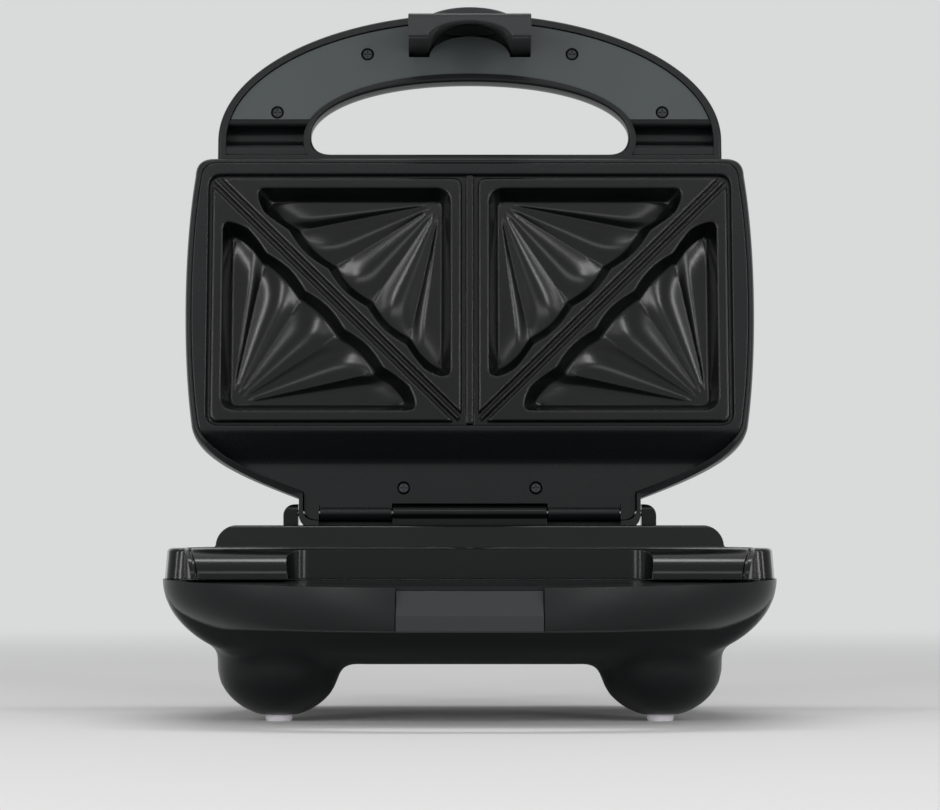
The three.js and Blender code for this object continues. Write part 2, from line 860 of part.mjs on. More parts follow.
// The rear of the cover: a rim that rises to the hinge, and a window over the barrels
function coverRearCut() {
  const top = partingHeight + hingeRimHeight;
  const low = partingHeight - overrun;
  const rise = alongX([
    { y: lidRear + overrun, z: low },
    { y: lidRear + overrun, z: top },
    { y: -hingeRimFront, z: top },
    { y: -rimRiseFront, z: partingHeight + coverRimHeight },
    { y: -rimRiseFront, z: low },
  ], -bodyHalfWidth, bodyHalfWidth);
  const span = barrelSpan + fit;
  const window = block(
    -span,
    span,
    -shoulderFront,
    lidRear + overrun,
    low,
    partingHeight + barrelWindow,
  );
  return joined(rise, window);
}

function latchNotch() {
  const front = handleCentre + handleReach + overrun;
  return block(
    -latchSlotHalfWidth,
    latchSlotHalfWidth,
    -front,
    -(slotRear - fit),
    partingHeight - overrun,
    latchTop + latchHeadroom,
  );
}

function lidCover() {
  const trough = handleRegion(
    0,
    panelRear - fit,
    partingHeight - overrun,
    partingHeight + handleTopHeight - wall,
  );
  let cover = cutBy(
    coverShell(),
    coverInside(),
    trough,
    coveCut(),
    fingerCutter(0),
    coverRearCut(),
  );
  const bossBottom = partingHeight + panelHeight + panelThickness + fit;
  const bossTop = partingHeight + handleTopHeight - wall / 2;
  for (const place of handleScrews()) {
    cover = cover.add(post(bossRadius, place.x, place.y, bossBottom, bossTop, 16));
  }
  for (const side of [-1, 1]) {
    const ends = [side * pivotBossInner, side * pivotBossOuter].sort((a, b) => a - b);
    cover = cover.add(block(
      ends[0],
      ends[1],
      -pivotForward - bossRadius,
      -pivotForward + bossRadius,
      bossBottom,
      bossTop,
    ));
  }
  for (const place of handleScrews()) {
    cover = cover.subtract(post(screwBore, place.x, place.y, bossBottom - overrun,
      bossBottom + screwLength, 12));
  }
  const pinEnd = pivotBossOuter + fit;
  const lens = (side) => post(
    lensRadius + fit,
    side * lensAcross,
    -lensForward,
    partingHeight + lidHeight - wall - overrun,
    partingHeight + lidHeight + overrun,
    16,
  );
  return cutBy(
    cover,
    latchNotch(),
    barAlongX(pinRadius + fit, -pinEnd, pinEnd, -pivotForward, pivotHeight, 12),
    barAlongX(pinRadius + fit, -earOuter, earOuter, 0, hingeHeight, 12),
    lens(-1),
    lens(1),
  );
}

// The lens of a lamp in the crown of the cover
function lampLens(side) {
  const top = partingHeight + lidHeight;
  return post(lensRadius, side * lensAcross, -lensForward, top - lensHeight, top, 16);
}

// The underside of the lid's frame in side view: flange, slope up to the hinge panel
function lidFrameProfile(raise) {
  const flange = partingHeight + frameClearance + raise;
  const panel = hingeHeight - hingePanelDrop + raise;
  return [
    { y: -lidSlopeFront - raise / 2, z: flange },
    { y: -hingePanelFront - raise / 2, z: panel },
    { y: lidRear + overrun, z: panel },
  ];
}

function lidFrame() {
  const bottom = partingHeight + frameClearance;
  const top = bottom + frameHeight;
  const outer = insetLoop(lidLoop, frameInset);
  const inner = insetLoop(lidLoop, frameInset + frameWall);
  const span = dividerWidth / 2 + cellSize + fit;
  const opening = roundedBox(span, cellRear - fit, cellRear + cellSize + fit, plateCorner);
  const under = alongX([
    { y: lidRear + overrun, z: bottom - overrun },
    ...lidFrameProfile(0).reverse(),
    { y: -lidSlopeFront, z: bottom - overrun },
  ], -bodyHalfWidth, bodyHalfWidth);
  const above = alongX([
    { y: -bodyFront, z: top + overrun },
    { y: -bodyFront, z: bottom + flangeThickness },
    ...lidFrameProfile(flangeThickness),
    { y: lidRear + overrun, z: top + overrun },
  ], -bodyHalfWidth, bodyHalfWidth).intersect(prism(inner, bottom, top + 2 * overrun));
  const rearEdge = block(
    -barrelSpan - fit,
    barrelSpan + fit,
    -hingePanelRear,
    lidRear + overrun,
    bottom - overrun,
    top + overrun,
  );
  const body = loft([
    level(outer, bottom),
    level(outer, bottom + frameHeight / 2),
    level(insetLoop(lidLoop, frameInset + frameTaper), top),
  ]);
  let frame = cutBy(
    body,
    under,
    above,
    rearEdge,
    prism(opening, bottom - overrun, top + overrun),
  );
  for (const side of [-1, 1]) {
    const ends = [side * (centreBarrelSpan + fit), side * barrelSpan].sort((a, b) => a - b);
    const web = block(
      ends[0],
      ends[1],
      -hingePanelRear - flangeThickness,
      0,
      hingeHeight - hingePanelDrop,
      hingeHeight - hingePanelDrop + flangeThickness,
    );
    frame = joined(
      frame,
      barAlongX(lidBarrelRadius, ends[0], ends[1], 0, hingeHeight, barrelFacets),
      web,
    );
    frame = frame.add(post(
      bossRadius,
      side * hingeScrewAcross,
      -hingeScrewForward,
      hingeHeight - hingePanelDrop,
      hingeHeight - hingePanelDrop + screwLength + fit,
      16,
    ));
    frame = frame.subtract(screwHole(
      side * hingeScrewAcross,
      -hingeScrewForward,
      hingeHeight - hingePanelDrop,
      bossDepth,
    ));
  }
  return frame.subtract(barAlongX(pinRadius + fit, -earOuter, earOuter, 0, hingeHeight, 12));
}

// The flat inner half of the handle, with the slot that the latch comes through
function handlePanel() {
  const bottom = partingHeight + panelHeight;
  const top = bottom + panelThickness;
  const slotFront = handleCentre + handleReach;
  const slot = block(
    -slotHalfWidth,
    slotHalfWidth,
    -slotFront,
    -slotRear,
    bottom - overrun,
    top + overrun,
  );
  const tongue = archLoop(tongueHalfWidth, slotRear - fit, slotRear, tongueFront - slotRear);
  let panel = handleRegion(fit, panelRear, bottom, top);
  panel = panel.subtract(slot.subtract(prism(tongue, bottom - 2 * overrun, top + 2 * overrun)));
  for (const place of handleScrews()) {
    panel = panel.subtract(screwHole(place.x, place.y, bottom, bossDepth));
  }
  return panel;
}

// ---- Latch ----

// The horseshoe-shaped hook that hangs from the handle and snaps under the catch
function latchHook() {
  const body = alongX([
    { y: -noseRear, z: noseBottom },
    { y: -noseRear, z: noseTop },
    { y: -legRear, z: noseTop },
    { y: -legRearTop, z: pivotHeight },
    { y: -legRearTop, z: latchTop },
    { y: -legFrontTop, z: latchTop },
    { y: -legFrontTop, z: tabBottom },
    { y: -noseFront, z: noseBottom },
  ], -latchHalfWidth, latchHalfWidth);
  const arch = (halfWidth, front) => archLoop(
    halfWidth,
    noseRear - overrun,
    noseRear,
    front - noseRear,
  );
  const hollow = loft([
    level(arch(archHalfWidth, archFront), noseBottom - overrun),
    level(arch(archHalfWidthTop, archFrontTop), pivotHeight - bossRadius),
  ]);
  return cutBy(
    body,
    hollow,
    barAlongX(pinRadius + fit, -pivotBossOuter, pivotBossOuter, -pivotForward, pivotHeight, 12),
  );
}

// The oval tab on the front of the latch, pressed with the thumb
function thumbTab() {
  const reach = tabFront - legFrontTop - fit;
  const rear = legFrontTop + fit;
  const loop = archLoop(tabHalfWidth, rear, rear, reach);
  const middle = (tabBottom + tabTop) / 2;
  const half = (tabTop - tabBottom) / 2;
  const sections = [-1, -0.75, 0, 0.75, 1].map((share) => {
    const inset = (1 - Math.sqrt(1 - share * share)) * reach / 3;
    const drawn = insetLoop(loop, inset, 0);
    return level(drawn.map((point) => new THREE.Vector2(
      point.x,
      -rear + (point.y + rear) * (1 - inset / reach),
    )), middle + half * share);
  });
  return loft(sections);
}

// ---- Base ----

// The tub of the lower housing: sides that round under to the flat belly
function tubSections(loop, top, bottom, inset, steps) {
  const sections = [];
  for (let i = 0; i <= steps; i += 1) {
    const angle = (1 - i / steps) * Math.PI / 2;
    const drawn = inset * (1 - Math.cos(angle));
    sections.push(level(
      insetLoop(loop, drawn, drawn * bellyDepthShare),
      top - (top - bottom) * Math.sin(angle),
    ));
  }
  return sections;
}

// The egg shape of a foot, drawn in by a wall for its hollow
function egg(place, inset, bottom, facets, steps) {
  const radius = footRadius - inset;
  const start = Math.asin(footSole / footRadius);
  const reach = (footMiddle - bottom) / Math.cos(start);
  const profile = [{ r: 0, z: bottom }];
  for (let i = 0; i <= steps; i += 1) {
    const angle = start + (Math.PI / 2 - start) * i / steps;
    profile.push({ r: radius * Math.sin(angle), z: footMiddle - reach * Math.cos(angle) });
  }
  for (let i = 1; i <= steps; i += 1) {
    const angle = i / steps * Math.PI / 2;
    profile.push({
      r: i < steps ? radius * Math.cos(angle) : 0,
      z: footMiddle + (footCrown - inset) * Math.sin(angle),
    });
  }
  return turned(profile, place.x, place.y, facets);
}

// The fillet that blends the inner side of a foot into the flat belly
function footFillet(place) {
  const flare = turned([
    { r: 0, z: bellyHeight - flareHeight },
    { r: footRadius - fit, z: bellyHeight - flareHeight },
    { r: footRadius + footFlare / 4, z: bellyHeight - flareHeight / 3 },
    { r: footRadius + footFlare, z: bellyHeight },
    { r: footRadius + footFlare, z: bellyHeight + wall / 2 },
    { r: 0, z: bellyHeight + wall / 2 },
  ], place.x, place.y, footFacets);
  const belly = insetLoop(baseLoop, bellyInset, bellyInset * bellyDepthShare);
  return flare.intersect(prism(belly, 0, housingRim));
}

const footPlaces = [
  { x: -frontFootAcross, y: -frontFootForward },
  { x: frontFootAcross, y: -frontFootForward },
  { x: -rearFootAcross, y: -rearFootForward },
  { x: rearFootAcross, y: -rearFootForward },
];

const housingScrews = housingScrewPlaces.flatMap((forward) => [
  { x: -housingScrewAcross, y: -forward },
  { x: housingScrewAcross, y: -forward },
]);

// How far the rounded side of the tub is drawn in at a level
function tubInset(height) {
  const drop = Math.max(0, housingRim - height) / (housingRim - bellyHeight);
  return bellyInset * (1 - Math.sqrt(1 - drop * drop));
}

// The band's plan at a level: it narrows with the tub, but its front stays upright
function bandPlan(height, inset) {
  const halfWidth = bandHalfWidth - tubInset(height) - inset;
  return level(
    archLoop(halfWidth, bandRoot, bandCentre, bandFront - bandCentre - inset),
    height,
  );
}

function frontBand() {
  const heights = [0, 0.25, 0.5, 0.75, 1].map((share) => (
    bandBottom + bandChamfer + (housingRim - bandBottom - bandChamfer) * share
  ));
  const outer = loft([
    bandPlan(bandBottom, bandChamfer),
    ...heights.map((height) => bandPlan(height, 0)),
  ]);
  const slope = alongX([
    { y: -bodyFront, z: housingRim },
    { y: -bandFront - overrun, z: bandTop },
    { y: -bandFront - overrun, z: housingRim + overrun },
    { y: -bodyFront, z: housingRim + overrun },
  ], -bodyHalfWidth, bodyHalfWidth);
  const low = bandBottom - overrun;
  const top = bandTop - bandWall;
  const hollow = cutBy(
    loft([low, bandBottom, (bandBottom + top) / 2, top].map((height) => (
      bandPlan(height, bandWall)
    ))),
    prism(fingerLoop(fingerRim), low - overrun, bandTop),
    block(-bodyHalfWidth, bodyHalfWidth, -fingerRear, 0, low - overrun, bandTop),
  );
  return cutBy(outer, slope, hollow);
}

function catchPocket(gap) {
  const rear = fingerFront + fingerRim;
  return block(
    -catchHalfWidth - gap,
    catchHalfWidth + gap,
    -bandFront - overrun,
    -rear - fit + gap,
    bandBottom - overrun,
    bandTop + overrun,
  );
}

function lowerHousing() {
  const tub = loft(tubSections(baseLoop, housingRim, bellyHeight, bellyInset, 6));
  const inner = insetLoop(baseLoop, wall);
  const inside = loft([
    ...tubSections(inner, housingRim, bellyHeight + wall, bellyInset, 4),
    level(inner, housingRim + overrun),
  ]);
  let housing = tub;
  for (const place of footPlaces) {
    housing = joined(housing, egg(place, 0, footBottom, footFacets, 5), footFillet(place));
  }
  housing = joined(housing, frontBand()).subtract(inside);
  for (const place of footPlaces) {
    const bottom = footBottom + padRecess + wall;
    housing = housing.subtract(egg(place, wall, bottom, 12, 3));
  }
  const opening = prism(fingerLoop(), bellyHeight - overrun, housingRim + overrun);
  housing = cutBy(housing, opening, catchPocket(0));
  for (const place of housingScrews) {
    housing = housing.add(post(bossRadius, place.x, place.y, bellyHeight + wall / 2,
      bellyHeight + wall + housingBossHeight, 16));
    housing = housing.subtract(screwHole(place.x, place.y, bellyHeight, bossDepth));
  }
  for (const place of footPlaces) {
    housing = housing.subtract(post(padRadius + fit, place.x, place.y, footBottom - overrun,
      footBottom + padRecess, 20));
  }
  const postTop = glandHeight - terminalSize.z / 2 - fit;
  housing = housing.add(post(terminalPost, glandAcross, -terminalForward,
    bellyHeight + wall / 2, postTop, 16));
  const gland = new THREE.CylinderGeometry(glandRadius + fit, glandRadius + fit,
    bellyInset + 2 * overrun, 20);
  gland.translate(glandAcross, baseRear - bellyInset / 2 + overrun, glandHeight);
  return housing.subtract(toSolid(gland));
}

// The ring of rubber that the supply cord enters through
function cordGland() {
  const profile = [
    { r: glandBore, z: -glandLength + wall },
    { r: glandRadius, z: -glandLength + wall },
    { r: glandRadius, z: wall },
    { r: glandFlange, z: wall },
    { r: glandFlange, z: 2 * wall },
    { r: glandBore, z: 2 * wall },
    { r: glandBore, z: -glandLength + wall },
  ];
  const outline = profile.map((point) => new THREE.Vector2(point.r, point.z));
  const geometry = new THREE.LatheGeometry(outline, 20);
  geometry.translate(glandAcross, baseRear - wall + fit, glandHeight);
  return toSolid(geometry);
}

function latchCatch() {
  const rear = fingerFront + fingerRim + 2 * fit;
  const front = bandFront - bandChamfer / 2;
  return alongX([
    { y: -rear, z: bandBottom },
    { y: -rear, z: catchTop },
    { y: -catchRampRear, z: catchTop },
    { y: -front, z: catchLip },
    { y: -front, z: bandBottom },
  ], -catchHalfWidth + fit, catchHalfWidth - fit);
}

// The raised rib in front of the hinge, with rounded ends
function rearRidge() {
  const base = partingHeight - frameClearance - flangeThickness;
  const ends = roundedFront(ridgeHalfWidth, ridgeTopHalfWidth, base, ridgeHeight, ridgeRound);
  const body = prism(insetLoop(lidLoop, ridgeInset), base, ridgeHeight).intersect(
    alongY(ends, -bodyFront, 0),
  );
  const profile = alongX([
    { y: -ridgeFront, z: base },
    { y: -ridgeFront, z: partingHeight - frameClearance },
    { y: -ridgeTopFront - edgeRound / 2, z: ridgeHeight - edgeRound / 2 },
    { y: -ridgeTopFront + edgeRound / 2, z: ridgeHeight },
    { y: -ridgeRear, z: ridgeHeight },
    { y: -ridgeRear, z: base },
  ], -bodyHalfWidth, bodyHalfWidth);
  return body.intersect(profile);
}

// The glossy rounded shoulders on both sides of the finger opening
function frontShoulders() {
  const bottom = housingRim + fit;
  const top = partingHeight - frameClearance;
  const root = bodyFront - baseFrameInset - frameWall;
  const points = [{ y: -root + wall, z: bottom }, { y: -root + wall, z: top }];
  const steps = 6;
  for (let i = 0; i <= steps; i += 1) {
    const angle = (1 - i / steps) * Math.PI / 2;
    points.push({
      y: -root - (shoulderReach + frameWall) * Math.cos(angle),
      z: bottom + (top - bottom) * Math.sin(angle),
    });
  }
  return cutBy(
    alongX(points, -bodyHalfWidth, bodyHalfWidth).intersect(prism(shoulderLoop, 0, hingeHeight)),
    prism(fingerLoop(fingerRim), 0, hingeHeight),
  );
}

function baseTopFrame() {
  const bottom = housingRim + fit;
  const top = partingHeight - frameClearance;
  const outer = loft([
    level(insetLoop(baseLoop, baseFrameInset / 2), bottom),
    level(insetLoop(baseLoop, baseFrameInset), top - edgeRound),
    level(insetLoop(baseLoop, baseFrameInset + edgeRound / 3), top - edgeRound / 3),
    level(insetLoop(baseLoop, baseFrameInset + edgeRound), top),
  ]);
  const inner = insetLoop(baseLoop, baseFrameInset + baseFrameWall);
  const span = dividerWidth / 2 + cellSize + fit;
  const opening = roundedBox(span, cellRear - fit, cellRear + cellSize + fit, plateCorner);
  const rearRegion = insetLoop(baseLoop, baseFrameInset + edgeRound);
  const deck = prism(rearRegion, bottom, wellHeight).intersect(
    block(-baseRearHalfWidth, baseRearHalfWidth, wellFront - ridgeRear, baseRear, 0, hingeHeight),
  );
  const lip = prism(rearRegion, bottom, rearLipHeight).intersect(
    block(-bodyHalfWidth, bodyHalfWidth, baseRear - edgeRound - rearLipDepth, baseRear, 0,
      hingeHeight),
  );
  let frame = joined(outer, deck, lip);
  frame = cutBy(
    frame,
    prism(inner, bottom - overrun, top - flangeThickness),
    prism(opening, bottom - overrun, hingeHeight),
  );
  frame = joined(frame, rearRidge(), frontShoulders());
  frame = frame.subtract(ridgeHollow());
  for (const side of [-1, 1]) {
    frame = frame.add(hingeEar(side));
  }
  const pedestal = block(
    -centreBarrelSpan,
    centreBarrelSpan,
    -pedestalDepth,
    pedestalDepth,
    wellHeight - flangeThickness,
    hingeHeight,
  );
  frame = joined(
    frame,
    pedestal,
    barAlongX(centreBarrelRadius, -centreBarrelSpan, centreBarrelSpan, 0, hingeHeight,
      barrelFacets),
  );
  const pinEnd = earOuter - frameWall;
  return frame.subtract(barAlongX(pinRadius + fit, -pinEnd, pinEnd, 0, hingeHeight, 12));
}

// A front outline that is straight below and has rounded upper corners
function roundedFront(halfWidth, topHalfWidth, bottom, top, radius) {
  const points = [{ x: halfWidth, z: bottom }];
  for (const share of [0, 0.25, 0.5, 0.75, 1]) {
    const angle = share * Math.PI / 2;
    points.push({
      x: topHalfWidth - radius * (1 - Math.cos(angle)),
      z: top - radius * (1 - Math.sin(angle)),
    });
  }
  const left = points.map(({ x, z }) => ({ x: -x, z })).reverse();
  return [...points, ...left];
}

// The ridge is a hollow moulding, open below
function ridgeHollow() {
  const loop = insetLoop(lidLoop, ridgeInset + 2 * wall + ridgeRound);
  return prism(loop, 0, ridgeHeight - flangeThickness).intersect(block(
    -bodyHalfWidth,
    bodyHalfWidth,
    -ridgeTopFront,
    -ridgeRear - wall,
    partingHeight - frameClearance - flangeThickness - overrun,
    ridgeHeight,
  ));
}

// One of the two brackets that hold the ends of the hinge pin
function hingeEar(side) {
  const ends = [side * earInner, side * earOuter].sort((a, b) => a - b);
  const base = wellHeight - flangeThickness;
  const profile = [
    { y: -earFront, z: base },
    { y: -earFront, z: earHeight - earRound },
    { y: -earFront + earRound, z: earHeight },
    { y: earRear - earRound, z: earHeight },
    { y: earRear, z: earHeight - earRound },
    { y: earRear, z: base },
  ];
  const outline = [
    { x: side * earInner, z: base },
    { x: side * earOuter, z: base },
  ];
  for (const share of [0, 0.33, 0.67, 1]) {
    const angle = share * Math.PI / 2;
    outline.push({
      x: side * (earOuter - earCrown * (1 - Math.cos(angle))),
      z: earHeight - earCrown * (1 - Math.sin(angle)),
    });
  }
  outline.push({ x: side * earInner, z: earHeight });
  const ordered = side > 0 ? outline : outline.reverse();
  return alongX(profile, ends[0], ends[1]).intersect(alongY(ordered, -earFront, earRear));
}

// ---- Assembly ----

const base = new THREE.Group();
const lid = new THREE.Group();
lid.position.z = hingeHeight;
lid.rotation.x = THREE.MathUtils.degToRad(-lidAngle);

function addToBase(name, solid, material) {
  base.add(toMesh(name, solid, material));
}

// Pieces of the lid are drawn shut, so they are first shifted to the hinge pin's axis
function addToLid(name, solid, material) {
  const mesh = toMesh(name, solid, material);
  mesh.geometry.translate(0, 0, -hingeHeight);
  lid.add(mesh);
}

addToBase('lower_housing', lowerHousing(), materials.cover);
addToBase('base_top_frame', baseTopFrame(), materials.frame);
addToBase('lower_cooking_plate', cookingPlate(lowerDepth), materials.plate);
addToBase('lower_heating_element', heatingElement(lowerDepth), materials.darkSteel);
addToBase('lower_heat_reflector', reflectorTray(lowerDepth), materials.tinned);
addToBase('latch_catch', latchCatch(), materials.cover);
addToBase('cord_gland', cordGland(), materials.darkRubber);
addToBase('hinge_pin', barAlongX(pinRadius, -earOuter + frameWall + fit,
  earOuter - frameWall - fit, 0, hingeHeight, 12), materials.steel);
addToBase('thermostat', post(
  thermostatRadius,
  0,
  -(cellRear + cellSize / 2),
  lowerDepth(trayTop + trayDepth + fit) - thermostatHeight,
  lowerDepth(trayTop + trayDepth + fit),
  20,
), materials.insulator);
addToBase('terminal_block', block(
  glandAcross - terminalSize.x / 2,
  glandAcross + terminalSize.x / 2,
  -terminalForward - terminalSize.y / 2,
  -terminalForward + terminalSize.y / 2,
  glandHeight - terminalSize.z / 2,
  glandHeight + terminalSize.z / 2,
), materials.insulator);
footPlaces.forEach((place, i) => {
  const pad = post(padRadius, place.x, place.y, 0, footBottom + padRecess - fit, 20);
  addToBase(`rubber_foot_${i + 1}`, pad, materials.rubber);
});
housingScrews.forEach((place, i) => {
  const solid = screw(place.x, place.y, bellyHeight + screwRecess - screwHeadHeight - fit);
  addToBase(`housing_screw_${i + 1}`, solid, materials.steel);
});

addToLid('lid_cover', lidCover(), materials.cover);
addToLid('lid_frame', lidFrame(), materials.frame);
addToLid('handle_panel', handlePanel(), materials.panel);
addToLid('upper_cooking_plate', cookingPlate(upperDepth), materials.plate);
addToLid('upper_heating_element', heatingElement(upperDepth), materials.darkSteel);
addToLid('upper_heat_reflector', reflectorTray(upperDepth), materials.tinned);
addToLid('power_light_lens', lampLens(-1), materials.redLens);
addToLid('ready_light_lens', lampLens(1), materials.greenLens);
const fuseLevel = upperDepth(trayTop + trayDepth + fit) + fuseRadius;
addToLid('thermal_fuse', barAlongX(fuseRadius, -fuseLength / 2, fuseLength / 2,
  -(cellRear + cellSize / 2), fuseLevel, 12), materials.insulator);
handleScrews().forEach((place, i) => {
  const head = partingHeight + panelHeight + screwRecess - screwHeadHeight - fit;
  addToLid(`handle_screw_${i + 1}`, screw(place.x, place.y, head), materials.steel);
});
[-1, 1].forEach((side, i) => {
  const head = hingeHeight - hingePanelDrop + screwRecess - screwHeadHeight - fit;
  const solid = screw(side * hingeScrewAcross, -hingeScrewForward, head);
  addToLid(`hinge_screw_${i + 1}`, solid, materials.steel);
});
addToLid('latch_hook', latchHook(), materials.frame);
addToLid('latch_thumb_tab', thumbTab(), materials.panel);
addToLid('latch_pin', barAlongX(pinRadius, -pivotBossOuter, pivotBossOuter, -pivotForward,
  pivotHeight, 12), materials.steel);
addToLid('latch_spring', cutBy(
  barAlongX(springRadius, latchHalfWidth + fit, pivotBossInner - fit, -pivotForward,
    pivotHeight, 16),
  barAlongX(pinRadius + fit, 0, pivotBossOuter, -pivotForward, pivotHeight, 12),
), materials.steel);

// The whole stands on its feet, centred over the origin
const toaster = new THREE.Group();
toaster.name = 'sandwich_toaster';
toaster.add(base, lid);
toaster.updateMatrixWorld(true);
const bounds = new THREE.Box3().setFromObject(toaster, true);
const middle = bounds.getCenter(new THREE.Vector3());
toaster.position.set(-middle.x, -middle.y, -bounds.min.z);

export default toaster;
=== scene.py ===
import json
import math

import bpy
import numpy as np
from mathutils import Matrix, Vector
from mathutils.bvhtree import BVHTree


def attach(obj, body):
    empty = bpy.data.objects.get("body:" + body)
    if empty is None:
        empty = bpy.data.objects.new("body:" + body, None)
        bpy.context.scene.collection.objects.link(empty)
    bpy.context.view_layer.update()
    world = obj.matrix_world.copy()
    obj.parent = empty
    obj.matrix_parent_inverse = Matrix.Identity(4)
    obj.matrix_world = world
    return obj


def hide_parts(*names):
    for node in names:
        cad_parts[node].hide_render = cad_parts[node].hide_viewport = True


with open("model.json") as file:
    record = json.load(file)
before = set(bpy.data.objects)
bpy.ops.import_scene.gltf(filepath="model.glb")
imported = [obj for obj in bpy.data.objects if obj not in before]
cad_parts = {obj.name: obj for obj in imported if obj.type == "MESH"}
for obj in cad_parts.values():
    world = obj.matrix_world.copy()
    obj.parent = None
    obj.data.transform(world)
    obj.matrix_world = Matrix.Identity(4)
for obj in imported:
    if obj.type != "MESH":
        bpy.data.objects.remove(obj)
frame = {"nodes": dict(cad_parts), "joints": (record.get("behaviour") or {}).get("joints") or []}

scene = bpy.context.scene
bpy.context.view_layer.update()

# ---- View ----
# The photographer stood about 1.7 m in front of the hinge with a long lens, level with the
# cooking plates of the base, and tipped the camera up a little to the middle of the object.
hinge = Vector(next(joint["pos_m"] for joint in frame["joints"] if joint["name"] == "lid_hinge"))
camera_distance, camera_height, camera_tilt = 1.70, 0.0764, 91.94
focal_length, picture_width = 3834, 940  # in pixels


def placed(name, data):
    """A new object in the scene."""
    thing = bpy.data.objects.new(name, data)
    scene.collection.objects.link(thing)
    return thing


camera = bpy.data.cameras.new("camera")
camera.sensor_width = 36.0
camera.lens = focal_length / picture_width * camera.sensor_width
camera.clip_start, camera.clip_end = 0.1, 60.0
view = placed("view", camera)
view.location = (0.0001, hinge.y - camera_distance, camera_height)
view.rotation_euler = (math.radians(camera_tilt), 0, 0)
scene.camera = view

# ---- Studio ----
# A pale matt table that fades into an even, pale room. Strip lights overhead, in front and on
# both sides draw the narrow highlights on the mouldings.
def by_math(operation):
    return lambda wire, other: wire.math(operation, other)


class Wire:
    """An output of a node. Arithmetic on it adds Math nodes to its tree."""

    def __init__(self, bench, socket):
        self.bench, self.socket = bench, socket

    def math(self, operation, *others):
        values = dict(enumerate((self, *others)))
        return self.bench.node("ShaderNodeMath", values, operation=operation)["Value"]

    __add__ = __radd__ = by_math("ADD")
    __sub__ = by_math("SUBTRACT")
    __mul__ = __rmul__ = by_math("MULTIPLY")
    __truediv__ = by_math("DIVIDE")
    __pow__ = by_math("POWER")

    def __rsub__(self, other):
        return self * -1.0 + other

    def __rtruediv__(self, other):
        return self ** -1.0 * other


class Made:
    """A node whose outputs are taken by name or number."""

    def __init__(self, bench, node):
        self.bench, self.own = bench, node

    def __getitem__(self, name):
        return Wire(self.bench, self.own.outputs[name])


class Bench:
    """A node tree that is being put together."""

    def __init__(self, tree, owner=None):
        self.tree, self.owner = tree, owner

    def node(self, kind, sockets=None, **settings):
        own = self.tree.nodes.new(kind)
        for name, value in settings.items():
            setattr(own, name, value)
        for name, value in (sockets or {}).items():
            if isinstance(value, Wire):
                self.tree.links.new(value.socket, own.inputs[name])
            else:
                own.inputs[name].default_value = value
        return Made(self, own)

    def place(self):
        return self.node("ShaderNodeTexCoord")["Object"]

    def noise(self, scale, detail=2.0):
        sockets = {"Vector": self.place(), "Scale": scale, "Detail": detail}
        return self.node("ShaderNodeTexNoise", sockets)["Fac"]

    def tone(self, share, first, second):
        """A colour between two others."""
        return self.node("ShaderNodeMix", {0: share, 6: first, 7: second}, data_type="RGBA")[2]

    def look(self, share, first, second):
        """A shader between two others."""
        return self.node("ShaderNodeMixShader", {"Fac": share, 1: first, 2: second})["Shader"]

    def soft_edge(self, radius):
        return self.node("ShaderNodeBevel", {"Radius": radius}, samples=4)["Normal"]

    def bump(self, height, strength, distance, **normal):
        sockets = {"Height": height, "Strength": strength, "Distance": distance, **normal}
        return self.node("ShaderNodeBump", sockets)["Normal"]

    def surface(self, sockets):
        """Ends a material's tree, and gives the material."""
        shader = self.node("ShaderNodeBsdfPrincipled", sockets)["BSDF"]
        self.node("ShaderNodeOutputMaterial", {"Surface": shader})
        return self.owner

    def split(self, vector=None):
        """The parts of a vector, or of the position where none is given."""
        vector = vector or self.node("GeometryNodeInputPosition")["Position"]
        return self.node("ShaderNodeSeparateXYZ", {"Vector": vector})

    def vector(self, **parts):
        return self.node("ShaderNodeCombineXYZ", parts)["Vector"]

    def can(self, around, levels, fills, radius, depth):
        """A closed cylinder about the origin."""
        return self.node("GeometryNodeMeshCylinder", {
            "Vertices": around, "Side Segments": levels, "Fill Segments": fills,
            "Radius": radius, "Depth": depth,
        }, fill_type="NGON")["Mesh"]

    def moved(self, geometry, **parts):
        """A geometry with its points brought to these positions."""
        sockets = {"Geometry": geometry, "Position": self.vector(**parts)}
        return self.node("GeometryNodeSetPosition", sockets)["Geometry"]

    def lifted(self, geometry, height):
        sockets = {"Geometry": geometry, "Translation": self.vector(Z=height)}
        return self.node("GeometryNodeTransform", sockets)["Geometry"]


def emptied(owner):
    """The bench of a new material or world, cleared."""
    owner.use_nodes = True
    owner.node_tree.nodes.clear()
    return Bench(owner.node_tree, owner)


def new_finish(name):
    return emptied(bpy.data.materials.new(name))


def srgb(r, g, b):
    """A colour as it shows on screen, 0 to 255, turned into light."""
    return tuple(((c / 255 + 0.055) / 1.055) ** 2.4 if c > 10 else c / 255 / 12.92
                 for c in (r, g, b)) + (1,)


def shade(colour, factor, lift=0.0):
    """The same colour, darker or paler."""
    return tuple(min(1, c * factor + lift) for c in colour[:3]) + (1,)


def seen_directly(bench):
    """1 for rays from the camera, a mirror or glass."""
    path = bench.node("ShaderNodeLightPath")
    seen = path["Is Camera Ray"].math("MAXIMUM", path["Is Glossy Ray"])
    return seen.math("MAXIMUM", path["Is Transmission Ray"])


